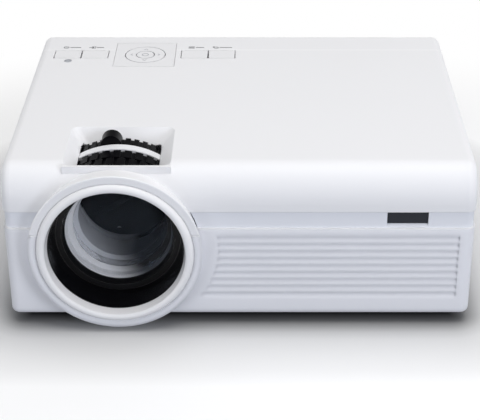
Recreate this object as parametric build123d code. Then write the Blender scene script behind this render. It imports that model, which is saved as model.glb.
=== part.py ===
from build123d import *
import math
import os

# A small LED projector. Front is -Y, right is +X, up is +Z, millimetres.
# Places below are written from the housing: X from its middle, D back from its front face,
# H up from its underside. at() turns them into the part's own frame, whose origin is the
# middle of the whole part's footprint, on the surface that the feet stand on.

# Housing. Places along X are written from its sides, so that they move with them.
BODY_W = 200.0
HALF_W = BODY_W / 2
BODY_D = 150.0
BODY_H = 70.0
WALL = 2.4
CORNER_R = 4.0
BASE_R = 2.0
CURVE_RUN = 12.0
CURVE_DROP = 15.6
LEDGE_H = 43.2
SEAM_H = 50.9
FOOT_H = 5.0

# Waist band
BAND_INSET = 0.7
TONGUE_GAP = 0.1
TONGUE_T = 1.2
TONGUE_H = 2.6

# Front ribs: V grooves cut in the lower front
RIB_COUNT = 9
RIB_PITCH = 3.5
RIB_FIRST_H = 10.15
RIB_DEPTH = 0.8
RIB_WIDTH = 2.9
RIB_END_X = HALF_W - 6.5
RIB_LENS_GAP = 6.3

# Side louvres
LOUVRE_COUNT = 10
LOUVRE_PITCH = 3.5
LOUVRE_FIRST_H = 9.8
LOUVRE_GAP = 1.6
LOUVRE_GROOVE = 0.9
LOUVRE_START_D = 3.0
LOUVRE_COLUMNS = 3
LOUVRE_STEP_D = BODY_D / LOUVRE_COLUMNS
LOUVRE_LENGTH = LOUVRE_STEP_D - 6.0
BAND_GROOVES = 2
TOP_GROOVE_H = SEAM_H + 4.4

# Lens axis and its rings, radii round the axis
LENS_X = 47.5 - HALF_W
LENS_H = 34.0
COLLAR_R = 37.2
COLLAR_BACK_R = COLLAR_R - 2.8
COLLAR_OUT = 6.0
COLLAR_BACK_D = 6.0
COLLAR_BORE_R = COLLAR_R - 3.8
COLLAR_EDGE_R = 1.2
COLLAR_GAP = 0.35
LIP_BASE_R = COLLAR_BORE_R - 0.3
LIP_BASE_OUT = 4.2
LIP_CREST_R = LIP_BASE_R - 1.9
LIP_OUT = 7.4
LIP_MOUTH_R = LIP_BASE_R - 3.3
LIP_MOUTH_OUT = 6.8
LIP_THROAT_R = LIP_BASE_R - 4.1
LIP_THROAT_OUT = 3.0
LENS_RING_BACK_D = 8.0
TUBE_R = LIP_BASE_R - 3.1
RING_FIT = 0.05
SHROUD_FRONT_R = TUBE_R - 1.4
SHROUD_BACK_R = TUBE_R - 2.8
BASE_TUBE_D = 9.0
RIB_RING_R = TUBE_R + 4.3
RIB_RING_D = 24.6
RIB_RING_W = 5.0
RIB_RING_EDGE = 0.5
PLATE_D = 44.0
PLATE_T = 3.0
PLATE_W = 2 * TUBE_R
PLATE_H = 57.0
TUNNEL_WALL = 1.8
TUNNEL_END_D = 40.0

# Focus wheel: two rows of pads, half a pitch apart
WHEEL_R = TUBE_R + 4.0
WHEEL_W = 13.8
WHEEL_GAP = 0.3
WHEEL_ROOM = 0.6
PAD_COUNT = 44
PAD_DEPTH = 0.8
PAD_GAP = 1.7
ROW_GAP = 0.8

# Focus helix: the wheel's grooves push three pins along straight slots
PIN_COUNT = 3
PIN_FIRST_DEG = 30.0
PIN_R = 1.5
PIN_LENGTH_IN = 1.9
PIN_OUT_R = TUBE_R + 1.2
PIN_SLOT_GAP = 0.1
GROOVE_R = TUBE_R + 1.5
FOCUS_PITCH = 24.0
FOCUS_TURN_DEG = 45.0

# Focus barrel and its glass
BARREL_R = TUBE_R - 3.1
PIN_IN_R = BARREL_R - PIN_LENGTH_IN
BARREL_FIT = 0.05
BARREL_D = 9.2
BARREL_LENGTH = 32.8
BORE_FRONT_R = BARREL_R - 2.3
BORE_BACK_R = BARREL_R - 7.3
BORE_STEP_D = 20.0
BARREL_LIP_R = BORE_BACK_R - 2.1
BARREL_LIP_T = 2.0
GLASS_FIT = 0.1
GLASS_LAND = 2.4
FRONT_LENS_LAND = 1.3
FRONT_LENS_D = 12.4
FRONT_LENS_EDGE = 3.1
FRONT_LENS_SAG = 6.9
FRONT_LENS_BACK_SAG = 2.6
RETAINER_T = 3.0
RETAINER_IN_R = BORE_FRONT_R - 1.2
SPACER_WALL = 2.2
MIDDLE_LENS_EDGE = 6.0
MIDDLE_LENS_SAG = -2.2
REAR_LENS_EDGE = 3.2
REAR_LENS_SAG = 2.4

# Keystone ring
KEYSTONE_D = 29.9
KEYSTONE_W = 6.5
KEYSTONE_R = TUBE_R + 3.8
KEYSTONE_PADS = 56
KEYSTONE_PAD_GAP = 1.5
TAB_TOP_R = KEYSTONE_R + 4.2
TAB_W = 9.0
TAB_DEG = 5.6

# Thumb pocket in the top
POCKET_X0 = LENS_X - 21.6
POCKET_X1 = LENS_X + 23.9
POCKET_D0 = 6.2
POCKET_FLOOR_H = BODY_H - 6.5
POCKET_SLOT_X = LENS_X + 0.9
POCKET_SLOT_HALF = 17.2
POCKET_SLOT_D0 = 7.6
POCKET_END_GAP = 1.2
POCKET_SLOT_D1 = KEYSTONE_D + KEYSTONE_W + POCKET_END_GAP
POCKET_D1 = POCKET_SLOT_D1 + 5.2
POCKET_CORNER_R = 3.5
POCKET_WALL = 1.8
POCKET_LIP_T = 1.5

# Infrared window and receiver
WINDOW_X0 = HALF_W - 37.7
WINDOW_X1 = HALF_W - 20.3
WINDOW_H0 = LEDGE_H + 1.7
WINDOW_SILL = 1.6
WINDOW_FIT = 0.15
WINDOW_SET_BACK = 0.5
RECEIVER_W = 6.0
RECEIVER_D = 4.0
RECEIVER_H = 6.4

# Keys: two pairs of flush keys, their left edges from the middle of the round pad
PANEL_X = LENS_X + 5.0
KEY_OFFSETS = (-44.5, -31.1, 17.85, 31.25)
KEY_LEFT_XS = [PANEL_X + offset for offset in KEY_OFFSETS]
KEY_NAMES = ("power_key", "source_key", "menu_key", "back_key")
KEY_W = 12.75
KEY_D0 = BODY_D - 30.0
KEY_LENGTH = 9.6
KEY_GAP = 0.35
KEY_END_GAP = 0.15
KEY_FLANGE = 1.0
KEY_FLANGE_T = 1.0
KEY_UNDER_GAP = 0.2
KEY_TRAVEL = 0.5
STEM_R = 1.6

# Round pad between the key pairs
PANEL_D = BODY_D - 25.7
PANEL_SIZE = 29.5
PANEL_GAP = 0.12
PANEL_FLANGE = 1.5
PANEL_FLANGE_T = 1.2
NAV_R = 9.6
NAV_GAP = 0.4
NAV_SKIRT = 1.3
NAV_SKIRT_T = 0.9
NAV_HOLE_R = 4.7
OK_R = 4.2
OK_SKIRT = 0.6
HUB_IN_R = 4.6
HUB_OUT_R = 6.2
HUB_T = 1.2
ROCK_ROOM = 0.6

# Key board under the top
KEY_BOARD_H = BODY_H - 9.0
BOARD_T = 1.6
KEY_BOARD_X0 = PANEL_X - 48.5
KEY_BOARD_X1 = PANEL_X + 48.5
KEY_BOARD_D0 = BODY_D - 38.0
KEY_BOARD_D1 = BODY_D - 13.5
SWITCH_W = 6.0
SWITCH_T = 1.5
SWITCH_BUTTON_R = 1.4
NAV_SWITCH_W = 3.6
NAV_SWITCH_T = 1.8
NAV_SWITCH_R = 8.7
BOARD_POST_R = 2.2
BOARD_POST_INSET = 2.6
BOARD_SCREW_R = 0.9
BOARD_SCREW_LENGTH = 5.0
BOARD_SCREW_HEAD_R = 1.7
BOARD_SCREW_HEAD_T = 1.1
LIGHT_X = PANEL_X - 37.2
LIGHT_D = BODY_D - 33.5
LIGHT_R = 1.35
LIGHT_FIT = 0.1

# Light engine: a box behind the lens with a channel to the right
ENGINE_WALL = 2.0
ENGINE_X0 = LENS_X - 30.7
ENGINE_X1 = LENS_X + 88.5
ENGINE_D0 = PLATE_D + PLATE_T
ENGINE_D1 = KEY_BOARD_D0 - 1.0
ENGINE_ROOM = (ENGINE_D1 - ENGINE_D0) / 2
ENGINE_H0 = 6.0
ENGINE_H1 = BODY_H - 8.0
ENGINE_LENS_R = 24.0
MIRROR_D = ENGINE_D0 + ENGINE_ROOM
MIRROR_END_GAP = 14.25
MIRROR_LENGTH = 2 * (ENGINE_ROOM * math.sqrt(2) - MIRROR_END_GAP)
MIRROR_HEIGHT = 42.0
MIRROR_T = 2.0
MIRROR_FRAME_T = 3.0
MIRROR_FRAME_RIM = 2.0
PIVOT_R = 1.5
PIVOT_LENGTH = 4.5
PIVOT_POST_R = 4.0
PIVOT_FIT = 0.05
PIVOT_END_GAP = 0.6
SLOT_DEPTH = 1.0
SLOT_FIT = 0.1
FIELD_LENS_X = LENS_X + 34.5
LCD_X = LENS_X + 42.5
COLLIMATOR_X = LENS_X + 52.5
PLATE_LENS_T = 2.0
LCD_T = 3.0
CONDENSER_X = LENS_X + 68.5
CONDENSER_R = 0.594 * ENGINE_ROOM
CONDENSER_EDGE = 4.0
CONDENSER_SAG = 7.0
CONDENSER_WALL = 5.0
COVER_T = 2.0

# LED board and heat sink
LED_BOARD_T = 2.0
LED_W = 12.0
LED_T = 1.6
SINK_BASE_T = 5.0
SINK_FAN_GAP = 9.0
SINK_WIDTH = 50.0
SINK_HEIGHT = 50.0
FIN_COUNT = 11
FIN_T = 1.2

# Fans
EXHAUST_SIZE = 60.0
EXHAUST_T = 15.0
EXHAUST_BORE_R = 28.4
EXHAUST_HUB_R = 15.0
EXHAUST_BLADES = 7
INTAKE_SIZE = 50.0
INTAKE_T = 10.0
INTAKE_BORE_R = 23.6
INTAKE_HUB_R = 12.0
INTAKE_BLADES = 7
FAN_WALL_GAP = 0.3
FAN_TIP_GAP = 0.9
FAN_PLATE_T = 2.0
FAN_SHAFT_R = 1.5
FAN_SHAFT_FIT = 0.05
FAN_CUP_WALL = 1.2
FAN_CUP_GAP = 0.6
FAN_SPOKE_W = 3.0
BLADE_T = 1.1
BLADE_DEG = 38.0
FAN_CORNER_R = 3.0
FILTER_T = 2.0
CRADLE_T = 2.0
CRADLE_W = 8.0

# Boards on the floor
FLOOR_BOARD_H = 8.0
FLOOR_POST_R = 2.6
FLOOR_POST_INSET = 4.0
MAIN_X0 = 15.0 - HALF_W
MAIN_X1 = ENGINE_X1
MAIN_D0 = ENGINE_D1 + 2.0
MAIN_D1 = BODY_D - 4.0
POWER_X0 = 8.0
POWER_X1 = HALF_W - 16.0
POWER_D0 = 8.0
POWER_D1 = 43.0
TRANSFORMER = (22.0, 18.0, 16.0)
CAPACITOR_R = 7.0
CAPACITOR_H = 22.0
CHIP_W = 16.0
CHIP_T = 4.0

# Sockets at the back, in the rear wall
SOCKET_BACK = 0.4
SOCKET_FIT = 0.3
SHEET_T = 0.5
HDMI_X = 34.0 - HALF_W
HDMI_W = 15.0
HDMI_H = 5.8
HDMI_D = 11.5
USB_X = 58.0 - HALF_W
USB_W = 14.4
USB_H = 6.9
USB_D = 14.0
JACK_XS = (80.0 - HALF_W, 96.0 - HALF_W)
JACK_W = 9.0
JACK_H = 8.6
JACK_D = 13.0
JACK_BORE_R = 1.8
JACK_BORE_LENGTH = 12.0
CARD_X = 116.0 - HALF_W
CARD_W = 14.0
CARD_H = 2.2
CARD_D = 12.0
INLET_X = HALF_W - 34.0
INLET_H = 14.0
INLET_W = 20.4
INLET_TALL = 12.4
INLET_D = 16.0
INLET_MOUTH_W = 15.6
INLET_MOUTH_H = 8.0
INLET_DEPTH = 9.0
INLET_PIN_R = 1.2
INLET_PIN_X = 4.3
INLET_PIN_LENGTH = 7.0
INLET_FLANGE = 1.5
INLET_FLANGE_T = 1.6

# Speaker on the right wall
SPEAKER_D0 = 18.0
SPEAKER_LENGTH = 28.0
SPEAKER_H0 = 12.0
SPEAKER_TALL = 28.0
SPEAKER_T = 10.0
SPEAKER_PLATE_T = 2.0
SPEAKER_CONE_R = 12.0
SPEAKER_MAGNET_R = 8.0

# Feet
FOOT_X = HALF_W - 20.0
FOOT_FRONT_D = 13.0
FOOT_BACK_D = BODY_D - 14.0
FOOT_R = 5.0
FOOT_RECESS = 0.8

# Adjusting foot
LEG_X = 0.0
LEG_D = 15.0
KNOB_R = 6.5
KNOB_T = 2.6
KNOB_TOP_GAP = 0.5
STEM_LEG_R = 2.5
LEG_LENGTH = 16.0
LEG_FIT = 0.06
LEG_TRAVEL = 10.0
LEG_RING_BELOW_TOP = 3.5
LEG_RING_W = 1.4
LEG_RING_DEPTH = 0.7
LEG_RING_FIT = 0.02
FOOT_PAD_R = 5.0
FOOT_PAD_T = 1.2
SPIGOT_R = 1.5
SPIGOT_LENGTH = 2.0
LEG_BOSS_R = 5.0
KNOB_FLUTES = 16
FLUTE_R = 0.7

# Tripod thread insert
TRIPOD_X = 0.0
TRIPOD_D = BODY_D / 2
TRIPOD_R = 3.2
TRIPOD_OUT_R = 4.6
TRIPOD_DEPTH = 5.0
TRIPOD_BOSS_WALL = 1.8

# Case screws, driven up from below
CASE_BOSS_X = HALF_W - 8.2
CASE_BOSS_DS = (11.0, BODY_D - 8.5)
CASE_BOSS_R = 4.4
CASE_BOSS_SPLIT_H = 47.0
CASE_WEB_T = 2.4
CASE_HEAD_R = 2.6
CASE_HEAD_T = 2.0
CASE_SHANK_R = 1.45
CASE_SHANK_LENGTH = 12.0
CASE_FIT = 0.05
CASE_SINK_R = 2.9
CASE_SINK_DEPTH = 7.0

# Worked out from the values above
FRONT_Y = -(BODY_D - LIP_OUT) / 2
CURVE_H = BODY_H - CURVE_DROP
INNER_TOP_H = BODY_H - WALL
WHEEL_D = RIB_RING_D - WHEEL_GAP - WHEEL_W
ENGINE_MID_D = MIRROR_D


def at(x, d, h):
    """Location of a point given by X, D back from the front face and H above the underside."""
    return Pos(x, FRONT_Y + d, FOOT_H + h)


def block(x0, x1, d0, d1, h0, h1):
    """Box between two X, two D and two H values."""
    middle = at((x0 + x1) / 2, (d0 + d1) / 2, (h0 + h1) / 2)
    return middle * Box(x1 - x0, d1 - d0, h1 - h0)


def upright(radius, x, d, h0, h1):
    """Round post along Z between two heights."""
    return at(x, d, (h0 + h1) / 2) * Cylinder(radius, h1 - h0)


def turned(*corners):
    """Solid of revolution about the lens axis from (radius, D) corners."""
    face = make_face(Polyline(*corners, close=True))
    return at(LENS_X, 0, LENS_H) * revolve(face, Axis.Y)


def lens_cylinder(radius, d0, d1):
    """Plain cylinder round the lens axis."""
    return turned((0, d0), (radius, d0), (radius, d1), (0, d1))


def along_x(radius, x0, x1, d, h):
    """Plain cylinder along X."""
    return at((x0 + x1) / 2, d, h) * Rot(0, 90, 0) * Cylinder(radius, x1 - x0)


def glass(radius, edge, front_sag, back_sag, front_land):
    """Round lens with a flat land round each face: positive sags bulge out, negative ones are hollow."""
    front_r = radius - front_land
    back_r = radius - GLASS_LAND
    front = TangentArc((0, -front_sag), (front_r, 0), tangent=(1, 0))
    rim = Polyline((front_r, 0), (radius, 0), (radius, edge), (back_r, edge))
    back = TangentArc((0, edge + back_sag), (back_r, edge), tangent=(1, 0))
    axis = Line((0, edge + back_sag), (0, -front_sag))
    return revolve(make_face([front, rim, back, axis]), Axis.Y)


def housing_form(inset):
    """Outer form of the closed housing, moved inwards by an inset on every side."""
    low = inset
    high = BODY_H - inset
    front = inset
    back = BODY_D - inset
    half = HALF_W - inset
    arc = EllipticalCenterArc(
        (CURVE_RUN, CURVE_H), CURVE_RUN - inset, CURVE_DROP - inset, start_angle=90, arc_size=90
    )
    outline = [
        Line((front, low), (front, CURVE_H)),
        arc,
        Line((CURVE_RUN, high), (back, high)),
        Line((back, high), (back, low)),
        Line((back, low), (front, low)),
    ]
    solid = extrude(Plane.YZ * make_face(outline), amount=half, both=True)
    radius = max(CORNER_R - inset, 0.8)
    sides = [
        edge
        for edge in solid.edges()
        if abs(abs(edge.center().X) - half) < 0.01 and edge.center().Z > low + 0.1
    ]
    back_top = [
        edge
        for edge in solid.edges()
        if abs(edge.center().Y - back) < 0.01 and abs(edge.center().Z - high) < 0.01
    ]
    solid = fillet(sides + back_top, radius)
    base = [edge for edge in solid.edges() if abs(edge.center().Z - low) < 0.01]
    solid = fillet(base, max(BASE_R - inset, 0.6))
    return at(0, 0, 0) * solid


def between(h0, h1):
    """Slab over the whole footprint between two heights."""
    return block(-BODY_W, BODY_W, -BODY_D, 2 * BODY_D, h0, h1)


OUTER = housing_form(0)
INNER = housing_form(WALL)


# Lens assembly


def collar():
    """Thick ring round the lens, narrowing towards the housing, with a rounded front edge."""
    ring = turned(
        (COLLAR_BORE_R, -COLLAR_OUT),
        (COLLAR_R, -COLLAR_OUT),
        (COLLAR_BACK_R, COLLAR_BACK_D),
        (COLLAR_BORE_R, COLLAR_BACK_D),
    )
    rim = ring.edges().filter_by(GeomType.CIRCLE).sort_by(Axis.Y)[:2]
    return fillet(rim, COLLAR_EDGE_R / 2)


def lens_ring():
    """White ring with a rounded lip, a tube behind it holds the shroud."""
    crest = ThreePointArc(
        (LIP_BASE_R, -LIP_BASE_OUT), (LIP_CREST_R, -LIP_OUT), (LIP_MOUTH_R, -LIP_MOUTH_OUT)
    )
    rest = Polyline(
        (LIP_MOUTH_R, -LIP_MOUTH_OUT),
        (LIP_THROAT_R, -LIP_THROAT_OUT),
        (TUBE_R + RING_FIT, -LIP_THROAT_OUT),
        (TUBE_R + RING_FIT, LENS_RING_BACK_D),
        (LIP_BASE_R, LENS_RING_BACK_D),
        (LIP_BASE_R, -LIP_BASE_OUT),
    )
    return at(LENS_X, 0, LENS_H) * revolve(make_face([crest, rest]), Axis.Y)


def lens_shroud():
    """Black tube between the lens ring and the lens base, narrowing inwards."""
    return turned(
        (SHROUD_FRONT_R, -LIP_THROAT_OUT),
        (TUBE_R, -LIP_THROAT_OUT),
        (TUBE_R, BASE_TUBE_D),
        (SHROUD_BACK_R, BASE_TUBE_D),
    )


def pin_angles():
    """Angles of the guide pins round the lens axis, in degrees."""
    return [PIN_FIRST_DEG + index * 360 / PIN_COUNT for index in range(PIN_COUNT)]


def pin_d():
    """D of the guide pins at rest: the middle of the focus wheel."""
    return WHEEL_D + WHEEL_W / 2


def round_lens(angle):
    """Location on the lens axis turned so that its Z axis points out at an angle."""
    return at(LENS_X, 0, LENS_H) * Rot(0, 90 - angle, 0)


def lens_base():
    """White tube with a rib ring, a rear plate and straight slots for the guide pins."""
    bore = BARREL_R + BARREL_FIT
    tube = turned((bore, BASE_TUBE_D), (TUBE_R, BASE_TUBE_D), (TUBE_R, PLATE_D), (bore, PLATE_D))
    ring_back = RIB_RING_D + RIB_RING_W
    ring = turned(
        (bore + 1, RIB_RING_D),
        (RIB_RING_R, RIB_RING_D),
        (RIB_RING_R, ring_back - RIB_RING_EDGE),
        (RIB_RING_R - RIB_RING_EDGE, ring_back),
        (bore + 1, ring_back),
    )
    plate = block(
        LENS_X - PLATE_W / 2,
        LENS_X + PLATE_W / 2,
        PLATE_D,
        PLATE_D + PLATE_T,
        LENS_H - PLATE_H / 2,
        LENS_H + PLATE_H / 2,
    )
    base = tube + ring + plate - lens_cylinder(bore, PLATE_D - 1, PLATE_D + PLATE_T + 1)
    travel = FOCUS_PITCH * FOCUS_TURN_DEG / 360
    for angle in pin_angles():
        slot = Box(
            2 * (PIN_R + PIN_SLOT_GAP),
            2 * (travel + PIN_R + PIN_SLOT_GAP),
            TUBE_R - bore + 4,
        )
        base -= round_lens(angle) * Pos(0, pin_d(), (TUBE_R + bore) / 2) * slot
    return base


def padded_band(radius, width, count, gap, depth, phase):
    """Band along Z whose outside is cut by shallow axial gaps into pads."""
    profile = Circle(radius)
    notch = Pos(radius, 0) * Rectangle(2 * depth, gap)
    for index in range(count):
        profile -= Rot(0, 0, phase + index * 360 / count) * notch
    return extrude(profile, amount=width)


def helix_cutter():
    """Curved bar that cuts one focus groove, built round the Z axis, middle at angle 0."""
    travel = FOCUS_PITCH * FOCUS_TURN_DEG / 360 + 0.4
    span_deg = 2 * travel / FOCUS_PITCH * 360
    path = Helix(FOCUS_PITCH, 2 * travel, TUBE_R, center=(0, 0, -travel))
    start = path @ 0
    section = Plane(origin=start, x_dir=(1, 0, 0), z_dir=path % 0) * Rectangle(
        2 * (GROOVE_R - TUBE_R), 2 * (PIN_R + PIN_SLOT_GAP)
    )
    return Rot(0, 0, -span_deg / 2) * sweep(section, path=path, is_frenet=True)


def focus_wheel():
    """Checkered ring round the lens base, grooved inside for the guide pins."""
    row = (WHEEL_W - ROW_GAP) / 2
    half_pitch = 180 / PAD_COUNT
    front = padded_band(WHEEL_R, row, PAD_COUNT, PAD_GAP, PAD_DEPTH, 0)
    back = padded_band(WHEEL_R, row, PAD_COUNT, PAD_GAP, PAD_DEPTH, half_pitch)
    middle = extrude(Circle(WHEEL_R - PAD_DEPTH), amount=WHEEL_W)
    wheel = front + Pos(0, 0, row + ROW_GAP) * back + middle
    wheel -= Pos(0, 0, WHEEL_W / 2) * Cylinder(TUBE_R + RING_FIT, WHEEL_W + 2)
    for angle in pin_angles():
        wheel -= Pos(0, 0, WHEEL_W / 2) * Rot(0, 0, -angle) * helix_cutter()
    return at(LENS_X, WHEEL_D, LENS_H) * Rot(-90, 0, 0) * wheel


def guide_pins():
    """Pins fixed in the barrel that ride in the wheel's grooves."""
    length = PIN_OUT_R - PIN_IN_R
    pins = [
        round_lens(angle) * Pos(0, pin_d(), PIN_IN_R + length / 2) * Cylinder(PIN_R, length)
        for angle in pin_angles()
    ]
    return Compound(children=pins)


def focus_barrel():
    """Black barrel that slides in the lens base and holds the glass."""
    back = BARREL_D + BARREL_LENGTH
    barrel = turned(
        (BORE_FRONT_R, BARREL_D),
        (BARREL_R, BARREL_D),
        (BARREL_R, back),
        (BARREL_LIP_R, back),
        (BARREL_LIP_R, back - BARREL_LIP_T),
        (BORE_BACK_R, back - BARREL_LIP_T),
        (BORE_BACK_R, BORE_STEP_D),
        (BORE_FRONT_R, BORE_STEP_D),
    )
    depth = BARREL_R - PIN_IN_R + 1
    for angle in pin_angles():
        hole = Pos(0, pin_d(), PIN_IN_R + depth / 2) * Cylinder(PIN_R, depth)
        barrel -= round_lens(angle) * hole
    return barrel


def rear_lens_d():
    """D of the rear lens's front edge: it sits on the barrel's end lip."""
    return BARREL_D + BARREL_LENGTH - BARREL_LIP_T - REAR_LENS_EDGE


def front_lens():
    """Big front glass."""
    radius = BORE_FRONT_R - GLASS_FIT
    lens = glass(
        radius, FRONT_LENS_EDGE, FRONT_LENS_SAG, FRONT_LENS_BACK_SAG, FRONT_LENS_LAND
    )
    return at(LENS_X, FRONT_LENS_D, LENS_H) * lens


def lens_retainer():
    """Ring that holds the front glass, sloped towards the mouth."""
    outer = BORE_FRONT_R - GLASS_FIT
    front = FRONT_LENS_D - RETAINER_T
    return turned(
        (outer, front),
        (outer, FRONT_LENS_D),
        (RETAINER_IN_R, FRONT_LENS_D),
        (RETAINER_IN_R, FRONT_LENS_D - RETAINER_T / 3),
        (outer - 0.4, front),
    )


def spacer(outer, d0, d1):
    """Plain ring between two lenses."""
    inner = outer - SPACER_WALL
    return turned((inner, d0), (outer, d0), (outer, d1), (inner, d1))


def front_spacer():
    """Ring between the front glass and the barrel's step."""
    return spacer(BORE_FRONT_R - GLASS_FIT, FRONT_LENS_D + FRONT_LENS_EDGE, BORE_STEP_D)


def middle_lens():
    """Hollow-faced middle glass, behind the barrel's step."""
    radius = BORE_BACK_R - GLASS_FIT
    lens = glass(radius, MIDDLE_LENS_EDGE, MIDDLE_LENS_SAG, MIDDLE_LENS_SAG, GLASS_LAND)
    return at(LENS_X, BORE_STEP_D, LENS_H) * lens


def rear_spacer():
    """Ring between the middle and rear glasses."""
    return spacer(BORE_BACK_R - GLASS_FIT, BORE_STEP_D + MIDDLE_LENS_EDGE, rear_lens_d())


def rear_lens():
    """Rear glass."""
    radius = BORE_BACK_R - GLASS_FIT
    lens = glass(radius, REAR_LENS_EDGE, REAR_LENS_SAG, REAR_LENS_SAG, GLASS_LAND)
    return at(LENS_X, rear_lens_d(), LENS_H) * lens


def keystone_ring():
    """Ribbed ring with a round-topped thumb tab, leaning left of the middle at rest."""
    ring = padded_band(
        KEYSTONE_R, KEYSTONE_W, KEYSTONE_PADS, KEYSTONE_PAD_GAP, PAD_DEPTH, 180 / KEYSTONE_PADS
    )
    ring -= Pos(0, 0, KEYSTONE_W / 2) * Cylinder(TUBE_R + RING_FIT, KEYSTONE_W + 2)
    ring = at(LENS_X, KEYSTONE_D, LENS_H) * Rot(-90, 0, 0) * ring
    root_r = KEYSTONE_R - 1.5
    straight = TAB_TOP_R - TAB_W / 2
    outline = Pos(0, (root_r + straight) / 2) * Rectangle(TAB_W, straight - root_r)
    outline += Pos(0, straight) * Circle(TAB_W / 2)
    outline -= Circle(root_r)
    tab = extrude(Plane.XZ * outline, amount=-KEYSTONE_W)
    return ring + at(LENS_X, KEYSTONE_D, LENS_H) * Rot(0, -TAB_DEG, 0) * tab


# Shells


def pocket_void(grow):
    """Tapered thumb pocket, wider by a wall thickness when grown."""
    top_x = (POCKET_X0 + POCKET_X1) / 2
    top_d = (POCKET_D0 + POCKET_D1) / 2
    slot_d = (POCKET_SLOT_D0 + POCKET_SLOT_D1) / 2
    top = RectangleRounded(
        POCKET_X1 - POCKET_X0 + 2 * grow, POCKET_D1 - POCKET_D0 + 2 * grow, POCKET_CORNER_R + grow
    )
    slot = RectangleRounded(
        2 * (POCKET_SLOT_HALF + grow),
        POCKET_SLOT_D1 - POCKET_SLOT_D0 + 2 * grow,
        POCKET_CORNER_R + grow,
    )
    lower = at(POCKET_SLOT_X, slot_d, POCKET_FLOOR_H) * slot
    upper = at(top_x, top_d, BODY_H) * top
    return loft([lower, upper])


def pocket_cut():
    """Everything that the pocket leaves open, above and below its tapered walls."""
    top_x = (POCKET_X0 + POCKET_X1) / 2
    top_d = (POCKET_D0 + POCKET_D1) / 2
    mouth = RectangleRounded(POCKET_X1 - POCKET_X0, POCKET_D1 - POCKET_D0, POCKET_CORNER_R)
    above = extrude(at(top_x, top_d, BODY_H) * mouth, amount=10)
    below = block(
        POCKET_SLOT_X - POCKET_SLOT_HALF,
        POCKET_SLOT_X + POCKET_SLOT_HALF,
        POCKET_SLOT_D0,
        POCKET_SLOT_D1,
        POCKET_FLOOR_H - 3,
        POCKET_FLOOR_H + 0.5,
    )
    return pocket_void(0) + above + below


def collar_zone(d1):
    """Cylinder that clears the shells' front walls for the lens ring."""
    return lens_cylinder(COLLAR_BORE_R, -COLLAR_OUT - 1, d1)


def side_slots(h_list, depth):
    """Horizontal slots in both side walls, from the outside inwards."""
    slots = []
    for h in h_list:
        for column in range(LOUVRE_COLUMNS):
            d0 = LOUVRE_START_D + column * LOUVRE_STEP_D
            d1 = d0 + LOUVRE_LENGTH
            low = h - LOUVRE_GAP / 2
            high = h + LOUVRE_GAP / 2
            slots.append(block(-HALF_W - 1, -HALF_W + depth, d0, d1, low, high))
            slots.append(block(HALF_W - depth, HALF_W + 1, d0, d1, low, high))
    return slots


def louvre_heights(first, count):
    """Heights of slots or grooves, numbered on one pitch from the lowest."""
    return [LOUVRE_FIRST_H + index * LOUVRE_PITCH for index in range(first, first + count)]


def key_hole(left):
    """Opening in the top for one flush key."""
    return block(
        left - KEY_GAP,
        left + KEY_W + KEY_GAP,
        KEY_D0 - KEY_END_GAP,
        KEY_D0 + KEY_LENGTH + KEY_END_GAP,
        INNER_TOP_H - 1,
        BODY_H + 1,
    )


def case_boss_places():
    """X and D of the four case screws."""
    return [(side * CASE_BOSS_X, d) for side in (-1, 1) for d in CASE_BOSS_DS]


def boss_web(x, d, h0, h1):
    """Web from a case boss to the nearer of the front and back walls."""
    wall_d = WALL / 2 if d < BODY_D / 2 else BODY_D - WALL / 2
    half = CASE_WEB_T / 2
    return block(x - half, x + half, min(d, wall_d), max(d, wall_d), h0, h1) & OUTER


def board_post_places():
    """X and D of the key board's four posts."""
    xs = (KEY_BOARD_X0 + BOARD_POST_INSET, KEY_BOARD_X1 - BOARD_POST_INSET)
    ds = (KEY_BOARD_D0 + BOARD_POST_INSET, KEY_BOARD_D1 - BOARD_POST_INSET)
    return [(x, d) for x in xs for d in ds]


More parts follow.
